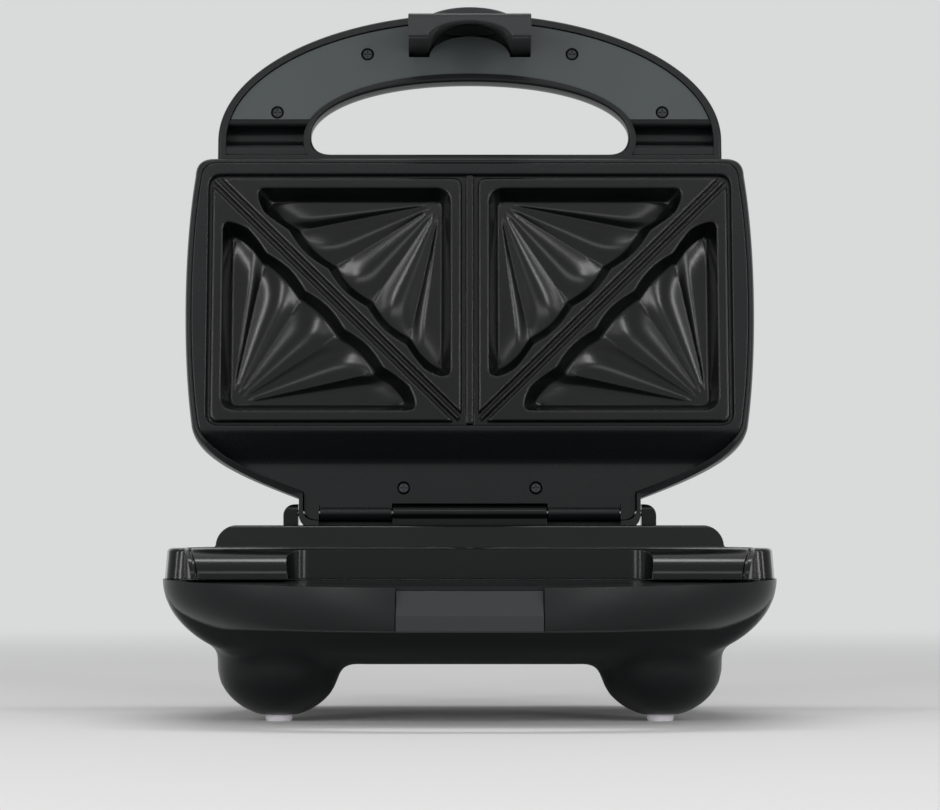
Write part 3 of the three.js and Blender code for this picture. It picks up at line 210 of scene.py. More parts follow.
pale = srgb(217, 218, 218)
far = 30
bench = new_finish("pale_table")
near_look = bench.node("ShaderNodeBsdfPrincipled", {
    "Base Color": bench.tone(bench.noise(3.0, 3.0), srgb(221, 221, 221), srgb(226, 226, 225)),
    "Roughness": 0.8, "Specular IOR Level": 0.15,
})["BSDF"]
far_look = bench.node("ShaderNodeEmission", {"Color": pale, "Strength": 1.0})["Emission"]
away = bench.node("ShaderNodeVectorMath", {0: bench.place()}, operation="LENGTH")["Value"]
fade = bench.node("ShaderNodeMapRange", {"Value": away, "From Min": 0.3, "From Max": 1.6},
                  interpolation_type="SMOOTHSTEP")["Result"]
table_look = bench.look(fade * seen_directly(bench), near_look, far_look)
bench.node("ShaderNodeOutputMaterial", {"Surface": table_look})
table_mesh = bpy.data.meshes.new("table")
table_mesh.from_pydata([(-far, -far, 0), (far, -far, 0), (far, far, 0), (-far, far, 0)], [],
                       [(0, 1, 2, 3)])
table_mesh.materials.append(bench.owner)
table = placed("table", table_mesh)

bench = emptied(bpy.data.worlds.new("room"))
shown, felt = [bench.node("ShaderNodeBackground", {"Color": pale, "Strength": strength})
               for strength in (1.0, 0.5)]
room_look = bench.look(seen_directly(bench), felt["Background"], shown["Background"])
bench.node("ShaderNodeOutputWorld", {"Surface": room_look})
scene.world = bench.owner
scene.view_settings.view_transform = "Standard"

for name, place, aim_height, size, power in [
    ("overhead_strip", (0, 0.30, 1.35), 0.08, (1.3, 0.20), 6.0),
    ("front_strip", (0, -1.35, 1.30), 0.12, (1.3, 0.30), 3.4),
    ("left_strip", (-0.72, -1.40, 0.45), 0.10, (0.10, 0.8), 5.5),
    ("right_strip", (0.72, -1.40, 0.45), 0.10, (0.10, 0.8), 5.5),
    ("left_box", (-1.15, -1.00, 0.50), 0.12, (0.14, 0.9), 5.0),
    ("right_box", (1.15, -1.00, 0.50), 0.12, (0.14, 0.9), 5.0),
]:
    lamp = bpy.data.lights.new(name, "AREA")
    lamp.shape, lamp.size, lamp.size_y, lamp.energy = "RECTANGLE", *size, power
    holder = placed(name, lamp)
    aim = Vector((0, 0, aim_height)) - Vector(place)
    holder.location = place
    holder.rotation_euler = aim.to_track_quat("-Z", "Y").to_euler()

# ---- Lower housing ----
# The tub of the base, moulded in satin black plastic in one piece with its four egg-shaped
# feet and the band round the finger opening. Four screws from below hold it to the top frame.
#
# Every piece is drawn in millimetres with the lid shut, x to the right and -y to the front,
# the hinge pin at y = 0 and z = 86. seated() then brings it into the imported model's frame.
pin_height = 86.0
rim_height, belly_height, band_low = 58.4, 23.5, 38.4
side, corner = 126.84, 123.2  # half the body's width in the middle and at the corners
wide = 127  # how far the cutting tools reach to both sides
tub_draw, wall = 52, 2.7  # how far the belly is drawn in, and the plastic's thickness
finger_rear = 163.3
pin_bore, boss, pilot = 1.7, 4.2, 1.6
gland_place = (52, 44)


def drawn(start, *moves):
    """A plan line. A move holds an end point, with up to two handles before it, and steps."""
    points = [np.array(start, float)]
    for *knots, steps in moves:
        knots = [points[-1], *(np.array(knot, float) for knot in knots)]
        order = len(knots) - 1
        for t in np.linspace(0, 1, steps + 1)[1:]:
            points.append(sum(math.comb(order, k) * (1 - t) ** (order - k) * t ** k * knot
                              for k, knot in enumerate(knots)))
    return np.array(points)


def arc(count, first=0, last=math.pi / 2):
    """The sine and cosine along a turn, a quarter of one if nothing else is said."""
    return [(math.sin(a), math.cos(a)) for a in np.linspace(first, last, count)]


def mirrored(half):
    """A right half, drawn from the rear to the front, completed by its mirror image."""
    left = half[half[:, 0] > 1e-6][::-1] * (-1, 1)
    return np.vstack([half, left])


def body_plan(rear_side, rear):
    """Straight hinge flank, slanted rear corner, bowed side and rounded front corner."""
    slant = corner - rear_side
    bow = corner + (side - corner) * 4 / 3
    return mirrored(drawn(
        (rear_side - 6, rear),
        ((rear_side, rear), (rear_side, rear - 6), 6),
        ((rear_side, -6), 4),
        ((rear_side + slant * 0.6, -16.85), (rear_side + slant * 0.95, -25.2), (corner, -37), 20),
        ((bow, -69.2), (bow, -119.8), (corner, -152), 26),
        ((corner, -160), (corner - 8, -160), 8),
    ))


def drawn_in(plan, across, along=None):
    """The plan drawn in towards its middle, by one distance or another at its ends."""
    low, high = plan.min(0), plan.max(0)
    middle, half = (low + high) / 2, (high - low) / 2
    inset = np.array([across, across if along is None else along])
    return middle + (plan - middle) * (1 - inset / half)


def arch_plan(side, root, centre, reach, steps=40):
    """A half-ellipse that bulges to the front, with straight sides back to its root."""
    turn = np.linspace(0, math.pi / 2, steps + 1)
    bow = np.column_stack([side * np.cos(turn), -centre - reach * np.sin(turn)])
    bow[-1, 0] = 0
    return mirrored(np.vstack([[(side, -root)], bow]))


def ring(radius, around):
    turn = np.arange(around) * 2 * math.pi / around
    return radius * np.column_stack([np.cos(turn), np.sin(turn)])


def at_x(x, line):
    return np.column_stack([np.full(len(line), x), line])


def at_y(y, line):
    return np.column_stack([line[:, 0], np.full(len(line), y), line[:, 1]])


def level(plan, height):
    return np.column_stack([plan, np.full(len(plan), height)])


def outward(mesh):
    """Turns a closed mesh right side out."""
    mesh.calc_loop_triangles()
    points = np.array([vertex.co for vertex in mesh.vertices])
    corners = np.array([triangle.vertices for triangle in mesh.loop_triangles])
    a, b, c = points[corners].transpose(1, 0, 2)
    if np.einsum("ij,ij", a, np.cross(b, c)) < 0:
        mesh.flip_normals()
    return mesh


def solid(rings):
    """Rings with equal counts of points, joined in turn and closed at both ends."""
    count, last = len(rings[0]), len(rings[0]) * (len(rings) - 1)
    faces = [(a + i, a + (i + 1) % count, a + count + (i + 1) % count, a + count + i)
             for a in range(0, last, count) for i in range(count)]
    faces += [tuple(range(count))[::-1], tuple(range(last, last + count))]
    mesh = bpy.data.meshes.new("solid")
    mesh.from_pydata(np.vstack(rings).tolist(), [], faces)
    return placed("solid", outward(mesh))


def stacked(plan, steps):
    """A plan drawn in by one distance after the other, each at its own height."""
    return solid([level(drawn_in(plan, inset), height) for inset, height in steps])


def prism(plan, low, high):
    return solid([level(plan, low), level(plan, high)])


def along_x(profile, start=-wide, end=wide):
    """A side profile of (y, z) points, drawn out along X."""
    profile = np.array(profile, float)
    return solid([at_x(start, profile), at_x(end, profile)])


def along_y(outline, start, end):
    """A front outline of (x, z) points, drawn out along Y."""
    outline = np.array(outline, float)
    return solid([at_y(start, outline), at_y(end, outline)])


def block(x0, x1, y0, y1, z0, z1):
    return along_x([(y0, z0), (y1, z0), (y1, z1), (y0, z1)], x0, x1)


def turned(profile, x, y, around=72):
    """A body of (radius, height) points turned about an upright axis."""
    return solid([level(ring(r, around) + (x, y), z) for r, z in profile])


def round_bar(low, high, ends, y, z, around):
    """A bar along X, whose ends are (radius, distance from the end) points."""
    profile = [(r, low + d) for r, d in ends] + [(r, high - d) for r, d in ends[::-1]]
    return solid([at_x(x, ring(r, around) + (y, z)) for r, x in profile])


def post(radius, x, y, low, high):
    return turned([(radius, low), (radius, high)], x, y, 48)


def rod(radius, end, y, z):
    """A round bar along X, as long to the left as to the right."""
    return round_bar(-end, end, [(radius, 0)], y, z, 48)


def settled(piece):
    """Turns what the modifiers of a piece make into its plain mesh."""
    graph = bpy.context.evaluated_depsgraph_get()
    mesh = bpy.data.meshes.new_from_object(piece.evaluated_get(graph))
    piece.modifiers.clear()
    piece.data = mesh
    return piece


def worked(piece, operation, tools):
    """A piece worked with its tools, which are used up."""
    for tool in tools:
        step = piece.modifiers.new("work", "BOOLEAN")
        step.operation, step.solver, step.object = operation, "MANIFOLD", tool
    settled(piece)
    for tool in tools:
        bpy.data.objects.remove(tool)
    return piece


def cut(piece, *tools):
    return worked(piece, "DIFFERENCE", tools)


def joined(piece, *others):
    return worked(piece, "UNION", others)


def kept_in(piece, *limits):
    return worked(piece, "INTERSECT", limits)


def grown(tree, points, values, edges=()):
    """What a Geometry Nodes tree makes of these points and edges, as a plain mesh."""
    carrier = bpy.data.meshes.new("points")
    carrier.from_pydata(np.array(points, float).tolist(), edges, [])
    piece = placed("grown", carrier)
    growth = piece.modifiers.new("growth", "NODES")
    growth.node_group = tree
    for item in tree.interface.items_tree:
        if item.name in values:
            growth[item.identifier] = values[item.name]
    settled(piece)
    outward(piece.data)
    return piece


def new_tree(name, **inputs):
    """A tree whose inputs are listed by kind, with its bench and its input node."""
    tree = bpy.data.node_groups.new(name, "GeometryNodeTree")
    for kind, labels in {**inputs, "Material": ["Finish"]}.items():
        for label in labels:
            tree.interface.new_socket(name=label, in_out="INPUT", socket_type="NodeSocket" + kind)
    tree.interface.new_socket(name="Geometry", in_out="OUTPUT", socket_type="NodeSocketGeometry")
    bench = Bench(tree)
    return tree, bench, bench.node("NodeGroupInput")


def finished(bench, geometry, given):
    """Every tree ends the same way: real geometry in its material."""
    real = bench.node("GeometryNodeRealizeInstances", {"Geometry": geometry})["Geometry"]
    dressed = bench.node("GeometryNodeSetMaterial", {"Geometry": real, "Material": given["Finish"]})
    bench.node("NodeGroupOutput", {"Geometry": dressed["Geometry"]})


# The rounded shell follows one rule, for the tub, the lid's dome and the handle alike: the
# plan line stands upright at its rim and is drawn in along a superellipse as it nears the crown.
shell_tree, bench, given = new_tree(
    "rounded_shell", Geometry=["Plan"], Int=["Around", "Levels"],
    Float=["Rim Height", "Rise", "Inset Across", "Inset Along", "Exponent"])
whole_turn = 1.55  # just short of a quarter, where a flat face closes the crown
position = bench.node("GeometryNodeInputPosition")["Position"]
around = given["Around"]
spot = bench.split(position)
turn_share = spot["Y"].math("ARCTAN2", spot["X"]) / (2 * math.pi) + 1
number = (turn_share * around + 0.5).math("FLOOR").math("MODULO", around)
sampled = bench.node("GeometryNodeSampleIndex", {
    "Geometry": given["Plan"], "Value": position, "Index": number,
}, data_type="FLOAT_VECTOR")["Value"]
plan_point = bench.split(sampled)
box = bench.node("GeometryNodeBoundBox", {"Geometry": given["Plan"]})
low, high = bench.split(box["Min"]), bench.split(box["Max"])
angle = (spot["Z"] + 1) * 0.5 * whole_turn
power = 2.0 / given["Exponent"]
drawn_share = 1.0 - angle.math("COSINE") ** power
place = {}
for axis, inset in (("X", given["Inset Across"]), ("Y", given["Inset Along"])):
    middle = (low[axis] + high[axis]) * 0.5
    half = (high[axis] - low[axis]) * 0.5
    place[axis] = middle + (plan_point[axis] - middle) * (1.0 - drawn_share * inset / half)
place["Z"] = given["Rim Height"] + given["Rise"] * angle.math("SINE") ** power
can = bench.can(around, given["Levels"], 1, 1.0, 2.0)
finished(bench, bench.moved(can, **place), given)


def shell(plan, rim, rise, across, along, exponent, levels):
    """A plan line's rounded shell, from the shell tree."""
    return grown(shell_tree, level(plan, 0), {
        "Around": len(plan), "Levels": levels, "Rim Height": rim, "Rise": rise,
        "Inset Across": across, "Inset Along": along, "Exponent": exponent,
    })


def moulded(name, colour, roughness, grain=0.35, grain_scale=2600.0, specular=0.5, edge=0.0004):
    """Black moulded plastic: spark-eroded grain, faint flow clouds and softened edges."""
    bench = new_finish(name)
    cloud, fine = bench.noise(26.0, 3.0), bench.noise(grain_scale)
    return bench.surface({
        "Base Color": bench.tone(cloud, shade(colour, 0.86), colour),
        "Roughness": roughness + (cloud - 0.5) * 0.10 + (fine - 0.5) * 0.12,
        "Specular IOR Level": specular,
        "Normal": bench.bump(fine, grain, 0.00004, Normal=bench.soft_edge(edge)),
    })


# Drawn shut; the base only shifts, and the lid is turned back by its 100 degrees as well.
base_seat = Matrix.Scale(0.001, 4) @ Matrix.Translation((0, hinge.y * 1000, 0))
lid_seat = (base_seat @ Matrix.Translation((0, 0, pin_height))
            @ Matrix.Rotation(math.radians(-100), 4, "X") @ Matrix.Translation((0, 0, -pin_height)))


def seated(piece, name, body, slot, material, *nodes, sharp=34):
    """Brings a drawn piece to its place, dresses it, and puts it in its CAD node's stead."""
    mesh = piece.data
    piece.name = mesh.name = name
    mesh.transform(base_seat if body == "base" else lid_seat)
    mesh.shade_smooth()
    mesh.set_sharp_from_angle(angle=math.radians(sharp))
    mesh.materials.clear()
    mesh.materials.append(material)
    piece.modifiers.new("flat_faces_stay_flat", "WEIGHTED_NORMAL").keep_sharp = True
    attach(piece, body)
    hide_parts(*nodes)


base_plan = body_plan(85, 22)
cover_black = moulded("cover_black", srgb(15, 18, 19), 0.31, specular=0.23)


def finger_plan(outset=0.0):
    """The finger opening: flat rear, rounded corners and a low arch at the front."""
    half = drawn(
        (62.5, -finger_rear),
        ((71.5, -finger_rear), (71.5, -172), 10),
        ((71.5, -185.97), (44.33, -197.4), (0, -197.4), 30),
    )
    half[-1, 0] = 0
    return drawn_in(mirrored(half), -outset)


def band_plan(height, inset=0.0):
    """The band is as wide as the tub at the rim, and below it slips inside the tub's sides."""
    fall = max(0, rim_height - height)
    drop = min(1, fall / (rim_height - belly_height))
    slip = tub_draw * (1 - math.sqrt(1 - drop * drop)) * (1 + 1.3 * (fall / 20) ** 2)
    half = 123.1 - slip - inset
    return level(arch_plan(half, 118, 150, 59 - inset, 60), height)


feet = [(-78.5, -118), (78.5, -118), (-82, -32), (82, -32)]
screw_places = [(-46, -42), (46, -42), (-46, -108), (46, -108)]
foot_radius, foot_middle, foot_crown, sole_radius = 25.6, 23.6, 22, 7.4


def eggs(inset, bottom, around, steps):
    """The feet: each a half-ellipse down to the sole, and a flatter one up into the tub."""
    start = math.asin(sole_radius / foot_radius)
    radius, reach = foot_radius - inset, (foot_middle - bottom) / math.cos(start)
    lower = [(radius * s, foot_middle - reach * c) for s, c in arc(steps + 1, start)]
    upper = [(radius * c, foot_middle + (foot_crown - inset) * s) for s, c in arc(steps)[1:-1]]
    return [turned(lower + upper, x, y, around) for x, y in feet]


def blended(first, second, voxel, reach, rounds):
    """Two solids joined with a soft fillet that follows their seam."""
    graph = bpy.context.evaluated_depsgraph_get()
    surfaces = [BVHTree.FromObject(piece, graph) for piece in (first, second)]
    joined(first, second)
    grid = first.modifiers.new("grid", "REMESH")
    grid.mode, grid.voxel_size = "VOXEL", voxel
    settled(first)
    seam = first.vertex_groups.new(name="seam")
    for vertex in first.data.vertices:
        away = max(surface.find_nearest(vertex.co)[3] for surface in surfaces)
        if away < reach:
            seam.add([vertex.index], 1 - (away / reach) ** 2, "REPLACE")
    fillet = first.modifiers.new("fillet", "SMOOTH")
    fillet.factor, fillet.iterations, fillet.vertex_group = 0.5, rounds, "seam"
    settled(first)
    first.vertex_groups.clear()


housing = shell(base_plan, rim_height, belly_height - rim_height, tub_draw, tub_draw * 0.6, 2.0, 22)
joined(housing, prism(drawn_in(base_plan, 0.02), rim_height - 1, rim_height + 5))
blended(housing, joined(*eggs(0, 2.6, 72, 20)), 1.7, 12, 45)
cut(housing, block(-140, 140, -240, 60, rim_height, rim_height + 10))
band = solid([band_plan(band_low, 1.2), band_plan(band_low + 0.5, 0.35), band_plan(band_low + 1.2)]
             + [band_plan(h) for h in np.linspace(band_low + 3, rim_height, 10)])
cut(band, along_x([(-160, rim_height), (-212, 55.55), (-212, 61), (-160, 61)], -130, 130))
joined(housing, band)
inside = solid([level(drawn_in(base_plan, wall + 52 * (1 - c), wall + 31.2 * (1 - c)),
                      rim_height - (rim_height - 26.2) * s)
                for s, c in arc(9, math.pi / 2, 0)] + [level(drawn_in(base_plan, wall), 62)])
hollow = solid([band_plan(h, 3) for h in (35, band_low, 45.5, 52.7)])
cut(hollow, prism(finger_plan(3.5), 30, 56), block(-130, 130, -finger_rear, 0, 30, 56))
cut(housing, inside, hollow, *eggs(4, 7.5, 32, 8))
cut(housing, prism(finger_plan(), 20, 62), block(-29.1, 29.1, -212, -201.2, 35, 59))
for x, y in screw_places:
    joined(housing, post(boss, x, y, 24.8, 38.2))
    cut(housing, post(3.2, x, y, 20, 25.7), post(pilot, x, y, 23, 37.5))
cut(housing, *(post(5.9, x, y, -1, 4.8) for x, y in feet))
cut(housing, along_y(ring(6.3, 48) + gland_place, -30, 28))
seated(housing, "lower_housing_shell", "base", "cover_plastic", cover_black, "lower_housing")

# ---- Base top frame ----
# The glossy black moulding that holds the lower cooking plate and closes the housing: a ring
# with a rounded shoulder on each side of the finger opening, the raised rib, the hinge well
# with its two ears, and the middle barrel of the hinge.
gloss_black = moulded("gloss_black", srgb(8, 9, 10), 0.16, grain=0.08, grain_scale=1800,
                      specular=0.26, edge=0.0006)
parting = 71.6
frame_low, frame_top = rim_height + 0.3, parting - 0.6
rib_foot, rib_top = frame_top - 2.4, 80.6
ear_foot, ear_in, ear_out, ear_top = 72.2, 75.95, 82.5, 90


def rounded_box(side, rear, front, radius):
    return mirrored(drawn(
        (side - radius, -rear),
        ((side, -rear), (side, -rear - radius), 8),
        ((side, -front + radius), 1),
        ((side, -front), (side - radius, -front), 8),
    ))


lid_plan = body_plan(75.6, 7)
top_frame = stacked(base_plan, [(0.85, frame_low)] + [
    (1.7 + 1.6 * (1 - c), frame_top - 1.6 * (1 - s)) for s, c in arc(7)])
rear_plan = drawn_in(base_plan, 3.3)
well = kept_in(prism(rear_plan, frame_low, 74.6), block(-85, 85, -11.5, 22, 0, 86))
lip = kept_in(prism(rear_plan, frame_low, 77.6), block(-130, 130, 16.2, 22, 0, 86))
joined(top_frame, well, lip)
cut(top_frame, prism(drawn_in(base_plan, 4.7), frame_low - 3, rib_foot),
    prism(rounded_box(116.7, 37.2, 151.8, 6), frame_low - 3, 86))

# The rib in front of the hinge: its crown is rounded along its length and over its ends.
rib_end = [(110.4 - 8.6 * (1 - c), rib_top - 8.6 * (1 - s)) for s, c in arc(12)]
rib_outline = [(112.5, rib_foot), *rib_end]
rib_outline += [(-x, z) for x, z in rib_outline[::-1]]
rib_crown = [(-24.3 - 2.6 * s, rib_top - 2.6 * (1 - c)) for s, c in arc(7, 0, 1.0)]
rib = kept_in(prism(drawn_in(lid_plan, 4.6), rib_foot, 80.8), along_y(rib_outline, -160, 0),
              along_x([(-34, rib_foot), (-34, frame_top), *rib_crown[::-1], (-18, rib_top),
                       (-16.5, 79.4), (-16.5, rib_foot)]))

# The shoulders: a rounded nose that falls forward to the band, with turned-in ends.
root = 160 - 4.7
nose = [(-root - 21.85 * c, frame_low + (frame_top - frame_low) * s)
        for s, c in arc(22, math.pi / 2, 0)]
shoulders = kept_in(along_x([(-root + 2.7, frame_low), (-root + 2.7, frame_top), *nose]),
                    prism(arch_plan(114.6, 150, 156, 84), 0, 86))
core = [(y + 0.9, z - 0.9) for y, z in nose]
groove = cut(prism(arch_plan(112.9, 120, 156, 82), frame_low - 1, 86),
             prism(arch_plan(111.9, 119, 156, 81), 0, 90),
             along_x([(-100, 0), (-100, core[0][1]), *core, (core[-1][0], 0)], -130, 130))
opening_wall = prism(mirrored(drawn(
    (62, -161.8), ((73, -161.8), (73, -173), 14), ((73, -190), (40, -205), (0, -205), 30),
)), 0, 86)
cut(shoulders, groove, opening_wall)
joined(top_frame, rib, shoulders)
cut(top_frame, kept_in(prism(drawn_in(lid_plan, 16), 0, 78.4),
                       block(-wide, wide, -24.6, -19.2, 65.6, 80.8)))
for way in (-1, 1):
    crown = [(way * (ear_out - 5 * (1 - c)), ear_top - 5 * (1 - s)) for s, c in arc(10)]
    ear = along_y([(way * ear_in, ear_foot), (way * ear_out, ear_foot), *crown,
                   (way * ear_in, ear_top)], -3, 10)
    ear_side = [(-3, ear_foot)] + [(-3 + 3 * (1 - c), 87 + 3 * s) for s, c in arc(8)]
    ear_side += [(7 - y, z) for y, z in ear_side[::-1]]
    joined(top_frame, kept_in(ear, along_x(ear_side, -90, 90)))
joined(top_frame, block(-34.2, 34.2, -2.4, 2.4, ear_foot, 86),
       round_bar(-34.2, 34.2, [(2.9, 0), (3.25, 0.15), (3.4, 0.5)], 0, pin_height, 64))
cut(top_frame, rod(pin_bore, 79.5, 0, pin_height))
seated(top_frame, "base_top_frame_moulding", "base", "frame_plastic", gloss_black,
       "base_top_frame")

# ---- Latch catch ----
# A separate satin insert in the middle of the band: a ramp that the latch rides down, and the
# lip that it snaps under. It is pressed into its pocket from below.
catch = along_x([(-201.5, 38.4), (-201.5, 53.9), (-202.0, 54.4), (-203.2, 54.4),
                 (-208.1, 45.3), (-208.4, 44.6), (-208.4, 38.9), (-207.9, 38.4)], -28.8, 28.8)
satin_grey = moulded("satin_grey", srgb(36, 39, 40), 0.38, specular=0.3, edge=0.0005)
seated(catch, "latch_catch_insert", "base", "cover_plastic", satin_grey, "latch_catch")

# ---- Rubber feet ----
# Four light grey rubber buttons pressed into the soles of the feet: a flat face with a rounded
# edge and a shallow dimple in the middle.
def repeated(bench, given, thing):
    """Ends a tree with the thing on each place."""
    sockets = {"Points": given["Places"], "Instance": thing}
    finished(bench, bench.node("GeometryNodeInstanceOnPoints", sockets)["Instances"], given)


pad_tree, bench, given = new_tree("buttons", Geometry=["Places"], Float=["Radius", "Height"])
can = bench.can(48, 10, 6, given["Radius"], given["Height"])
spot = bench.split()
depth_share = (given["Height"] * 0.5 - spot["Z"]) / given["Height"]
edge = 1.0 - depth_share ** 8.0 * 0.10
away = (spot["X"] * spot["X"] + spot["Y"] * spot["Y"]).math("SQRT") / given["Radius"]
dimple = (1.0 - away * 2.0).math("MAXIMUM", 0.0) * depth_share.math("GREATER_THAN", 0.99) * 0.6
repeated(bench, given, bench.moved(can, X=spot["X"] * edge, Y=spot["Y"] * edge,
                                   Z=spot["Z"] + dimple))


def rubber(name, colour):
    """Soft moulded rubber: matt, with a dusty bloom that gathers in patches."""
    bench = new_finish(name)
    bloom = bench.noise(420.0, 4.0)
    return bench.surface({
        "Base Color": bench.tone(bloom, colour, shade(colour, 1.25, 0.01)),
        "Roughness": 0.72 + (bloom - 0.5) * 0.2, "Specular IOR Level": 0.35,
        "Normal": bench.bump(bloom, 0.3, 0.00006),
    })


foot_grey = rubber("foot_grey", srgb(206, 202, 208))
for i, (x, y) in enumerate(feet, 1):
    pad = grown(pad_tree, [(x, y, 2.25)], {"Radius": 5.6, "Height": 4.5, "Finish": foot_grey})
    seated(pad, "foot_pad_%d" % i, "base", "foot_rubber", foot_grey, "rubber_foot_%d" % i)

# ---- Housing screws ----
# Four zinc-plated self-tapping screws with pan heads and cross recesses, deep in their holes.
screw_tree, bench, given = new_tree(
    "cross_screws", Geometry=["Places"],
    Float=["Head Radius", "Head Height", "Shank Radius", "Length", "Recess"])
head_height, spot = given["Head Height"], bench.split()
pan = 1.0 - (0.5 - spot["Z"] / head_height) ** 3.0 * 0.28
head = bench.moved(bench.can(40, 8, 1, given["Head Radius"], head_height),
                   X=spot["X"] * pan, Y=spot["Y"] * pan, Z=spot["Z"])
for along, across in ("XY", "YX"):
    size = bench.vector(**{along: given["Recess"] * 2.0, across: given["Recess"] * 0.42,
                           "Z": head_height})
    cube = bench.node("GeometryNodeMeshCube", {"Size": size})["Mesh"]
    head = bench.node("GeometryNodeMeshBoolean", {
        "Mesh 1": head, "Mesh 2": bench.lifted(cube, head_height * -0.45),
    }, operation="DIFFERENCE")["Mesh"]
shank = bench.can(20, 1, 1, given["Shank Radius"], given["Length"])
whole = bench.node("GeometryNodeJoinGeometry")
for part in (head, bench.lifted(shank, given["Length"] * 0.5)):
    bench.tree.links.new(part.socket, whole.own.inputs["Geometry"])
repeated(bench, given, whole["Geometry"])


def plated(name, colour, roughness):
    """Plated or blacked steel: fine turning marks and a little tarnish."""
    bench = new_finish(name)
    tarnish = bench.noise(300.0)
    return bench.surface({
        "Base Color": bench.tone(tarnish, shade(colour, 0.6), colour), "Metallic": 1.0,
        "Roughness": roughness + (tarnish - 0.5) * 0.2,
        "Normal": bench.bump(bench.noise(4000.0), 0.15, 0.00002),
    })


def screws(places, head_low, stem, body, material):
    """One screw on each place, with the head below, as numbered pieces of their own."""
    for i, (x, y) in enumerate(places, 1):
        screw = grown(screw_tree, [(x, y, head_low + 0.8)], {
            "Head Radius": 2.7, "Head Height": 1.6, "Shank Radius": 1.3, "Length": 8.2,
            "Recess": 1.55, "Finish": material,
        })
        node = "%s_%d" % (stem, i)
        seated(screw, node + "_steel", body, "fastener_steel", material, node)


zinc = plated("zinc_plate", srgb(170, 172, 174), 0.32)
screws(screw_places, belly_height + 0.3, "housing_screw", "base", zinc)

# ---- Lower cooking plate ----
# Die-cast aluminium under a dark non-stick coating: four raised triangular lands between
# narrow channels, each round a shell-shaped pocket, and a sharp rib that cuts each slice.
# It is tucked under the frame's flange by its lip.
def coated(name, colour):
    """Non-stick coating: dark, satin, a little orange peel and sparse paler specks."""
    bench = new_finish(name)
    peel, cloud = bench.noise(900.0, 3.0), bench.noise(35.0)
    dots = {"Vector": bench.place(), "Scale": 520.0}
    speck = 0.16 - bench.node("ShaderNodeTexVoronoi", dots)["Distance"]
    speck = (speck * 9.0).math("MAXIMUM", 0.0).math("MINIMUM", 1.0)
    return bench.surface({
        "Base Color": bench.tone(speck * 0.5, colour, shade(colour, 2.2, 0.01)),
        "Roughness": 0.21 + (cloud - 0.5) * 0.08 + (peel - 0.5) * 0.06,
        "Specular IOR Level": 0.32,
        "Normal": bench.bump(peel, 0.25, 0.00003, Normal=bench.soft_edge(0.0009)),
    })


plate_black = coated("plate_black", srgb(6, 7, 7))
cell, cell_rear, divider = 114.0, 37.5, 2.4


def pocket_line(leg, reach, bulge, spacing, corner):
    """One pocket's outline in its own (s, t) legs. Each point also holds how much of a crease
    it is, and whether it lies on the scalloped long side."""
    half = [(s, t, 0, 0) for s, t in drawn((corner / 4, corner / 4),
            ((corner * 0.55, 0.02), (corner, 0), 6), ((leg - 4, 0), 24))]
    outer, far = spacing * 1.5, (leg - 14.2) / 2

    def scallop(across, wave):
        total = reach + bulge * wave
        half.append((total / 2 + across, total / 2 - across, 1 - wave, 1))

    end = ((reach + bulge) / 2 + far, (reach + bulge) / 2 - far)
    tip = drawn((leg - 4, 0), ((leg + 2, 0), end, 9))[1:]
    half += [(s, t, 0, (i + 1) / len(tip)) for i, (s, t) in enumerate(tip)]
    for share in np.linspace(1, 0, 10)[1:-1]:
        scallop(outer + (far - outer) * share, math.sin(share * math.pi / 2))
    for i in range(25):
        across = outer * (1 - i / 24)
        scallop(across, abs(math.cos(across * math.pi / spacing)))
    other = [(t, s, crease, far_side) for s, t, crease, far_side in half[1:-1][::-1]]
    return np.array(half + other)


def moved_out(line, distance):
    """A closed outline offset square to itself."""
    along = np.roll(line, -1, 0)[:, :2] - np.roll(line, 1, 0)[:, :2]
    along /= np.linalg.norm(along, axis=1)[:, None]
    out = line.copy()
    out[:, 0] += along[:, 1] * distance
    out[:, 1] -= along[:, 0] * distance
    return out


def pocket_hollow(place, depth_to):
    """The hollow of a pocket: rounded lip, steep wall, soft foot, and the fan of flutes."""
    margin, steep, lip, pocket_depth = 6.4, 4.2, 1.0, 9.6
    rim = pocket_line(86.5, 90.5, 2.8, 17.4, 6.6)
    floor = pocket_line(77.5, 76.2, 2.4, 16.2, 2.6)

    def floor_at(share):
        curl = max(0, (share - 0.80) / 0.20) ** 2 * 2.0
        return pocket_depth - 3.2 * floor[:, 2] * share - curl * floor[:, 3] * (1 - floor[:, 2])

    rings = []

    def add(line, depth):
        flat = place(margin + line[:, 0], margin + line[:, 1])
        rings.append(np.column_stack([flat, depth_to(depth * np.ones(len(line)))]))

    add(moved_out(rim, lip), -1.0)
    for s, c in arc(7):
        add(moved_out(rim, lip * (1 - s)), lip * (1 - c))
    for share, fall in [(0.22, 0.3), (0.45, 0.56), (0.64, 0.77), (0.79, 0.90), (0.91, 0.972),
                        (1, 1)]:
        line = rim.copy()
        line[:, :2] += (floor[:, :2] + steep - rim[:, :2]) * share
        add(line, lip + (floor_at(1) - lip) * fall)
    for share in (0.98, 0.955, 0.93, 0.9, 0.86, 0.8, 0.72, 0.63, 0.54, 0.45, 0.36, 0.27, 0.18, 0.1):
        add(floor[:, :2] * share + steep, floor_at(share))
    return solid(rings)


def rounded_corners(corners, radii, steps):
    """A polygon whose corners are rounded, each by its own radius."""
    points = []
    for i, knot in enumerate(corners):
        ends = []
        for other in (corners[i - 1], corners[(i + 1) % len(corners)]):
            way = other - knot
            ends.append(knot + way / np.linalg.norm(way) * radii[i])
        points += list(drawn(ends[0], (knot, ends[1], steps)))
    return np.array(points)


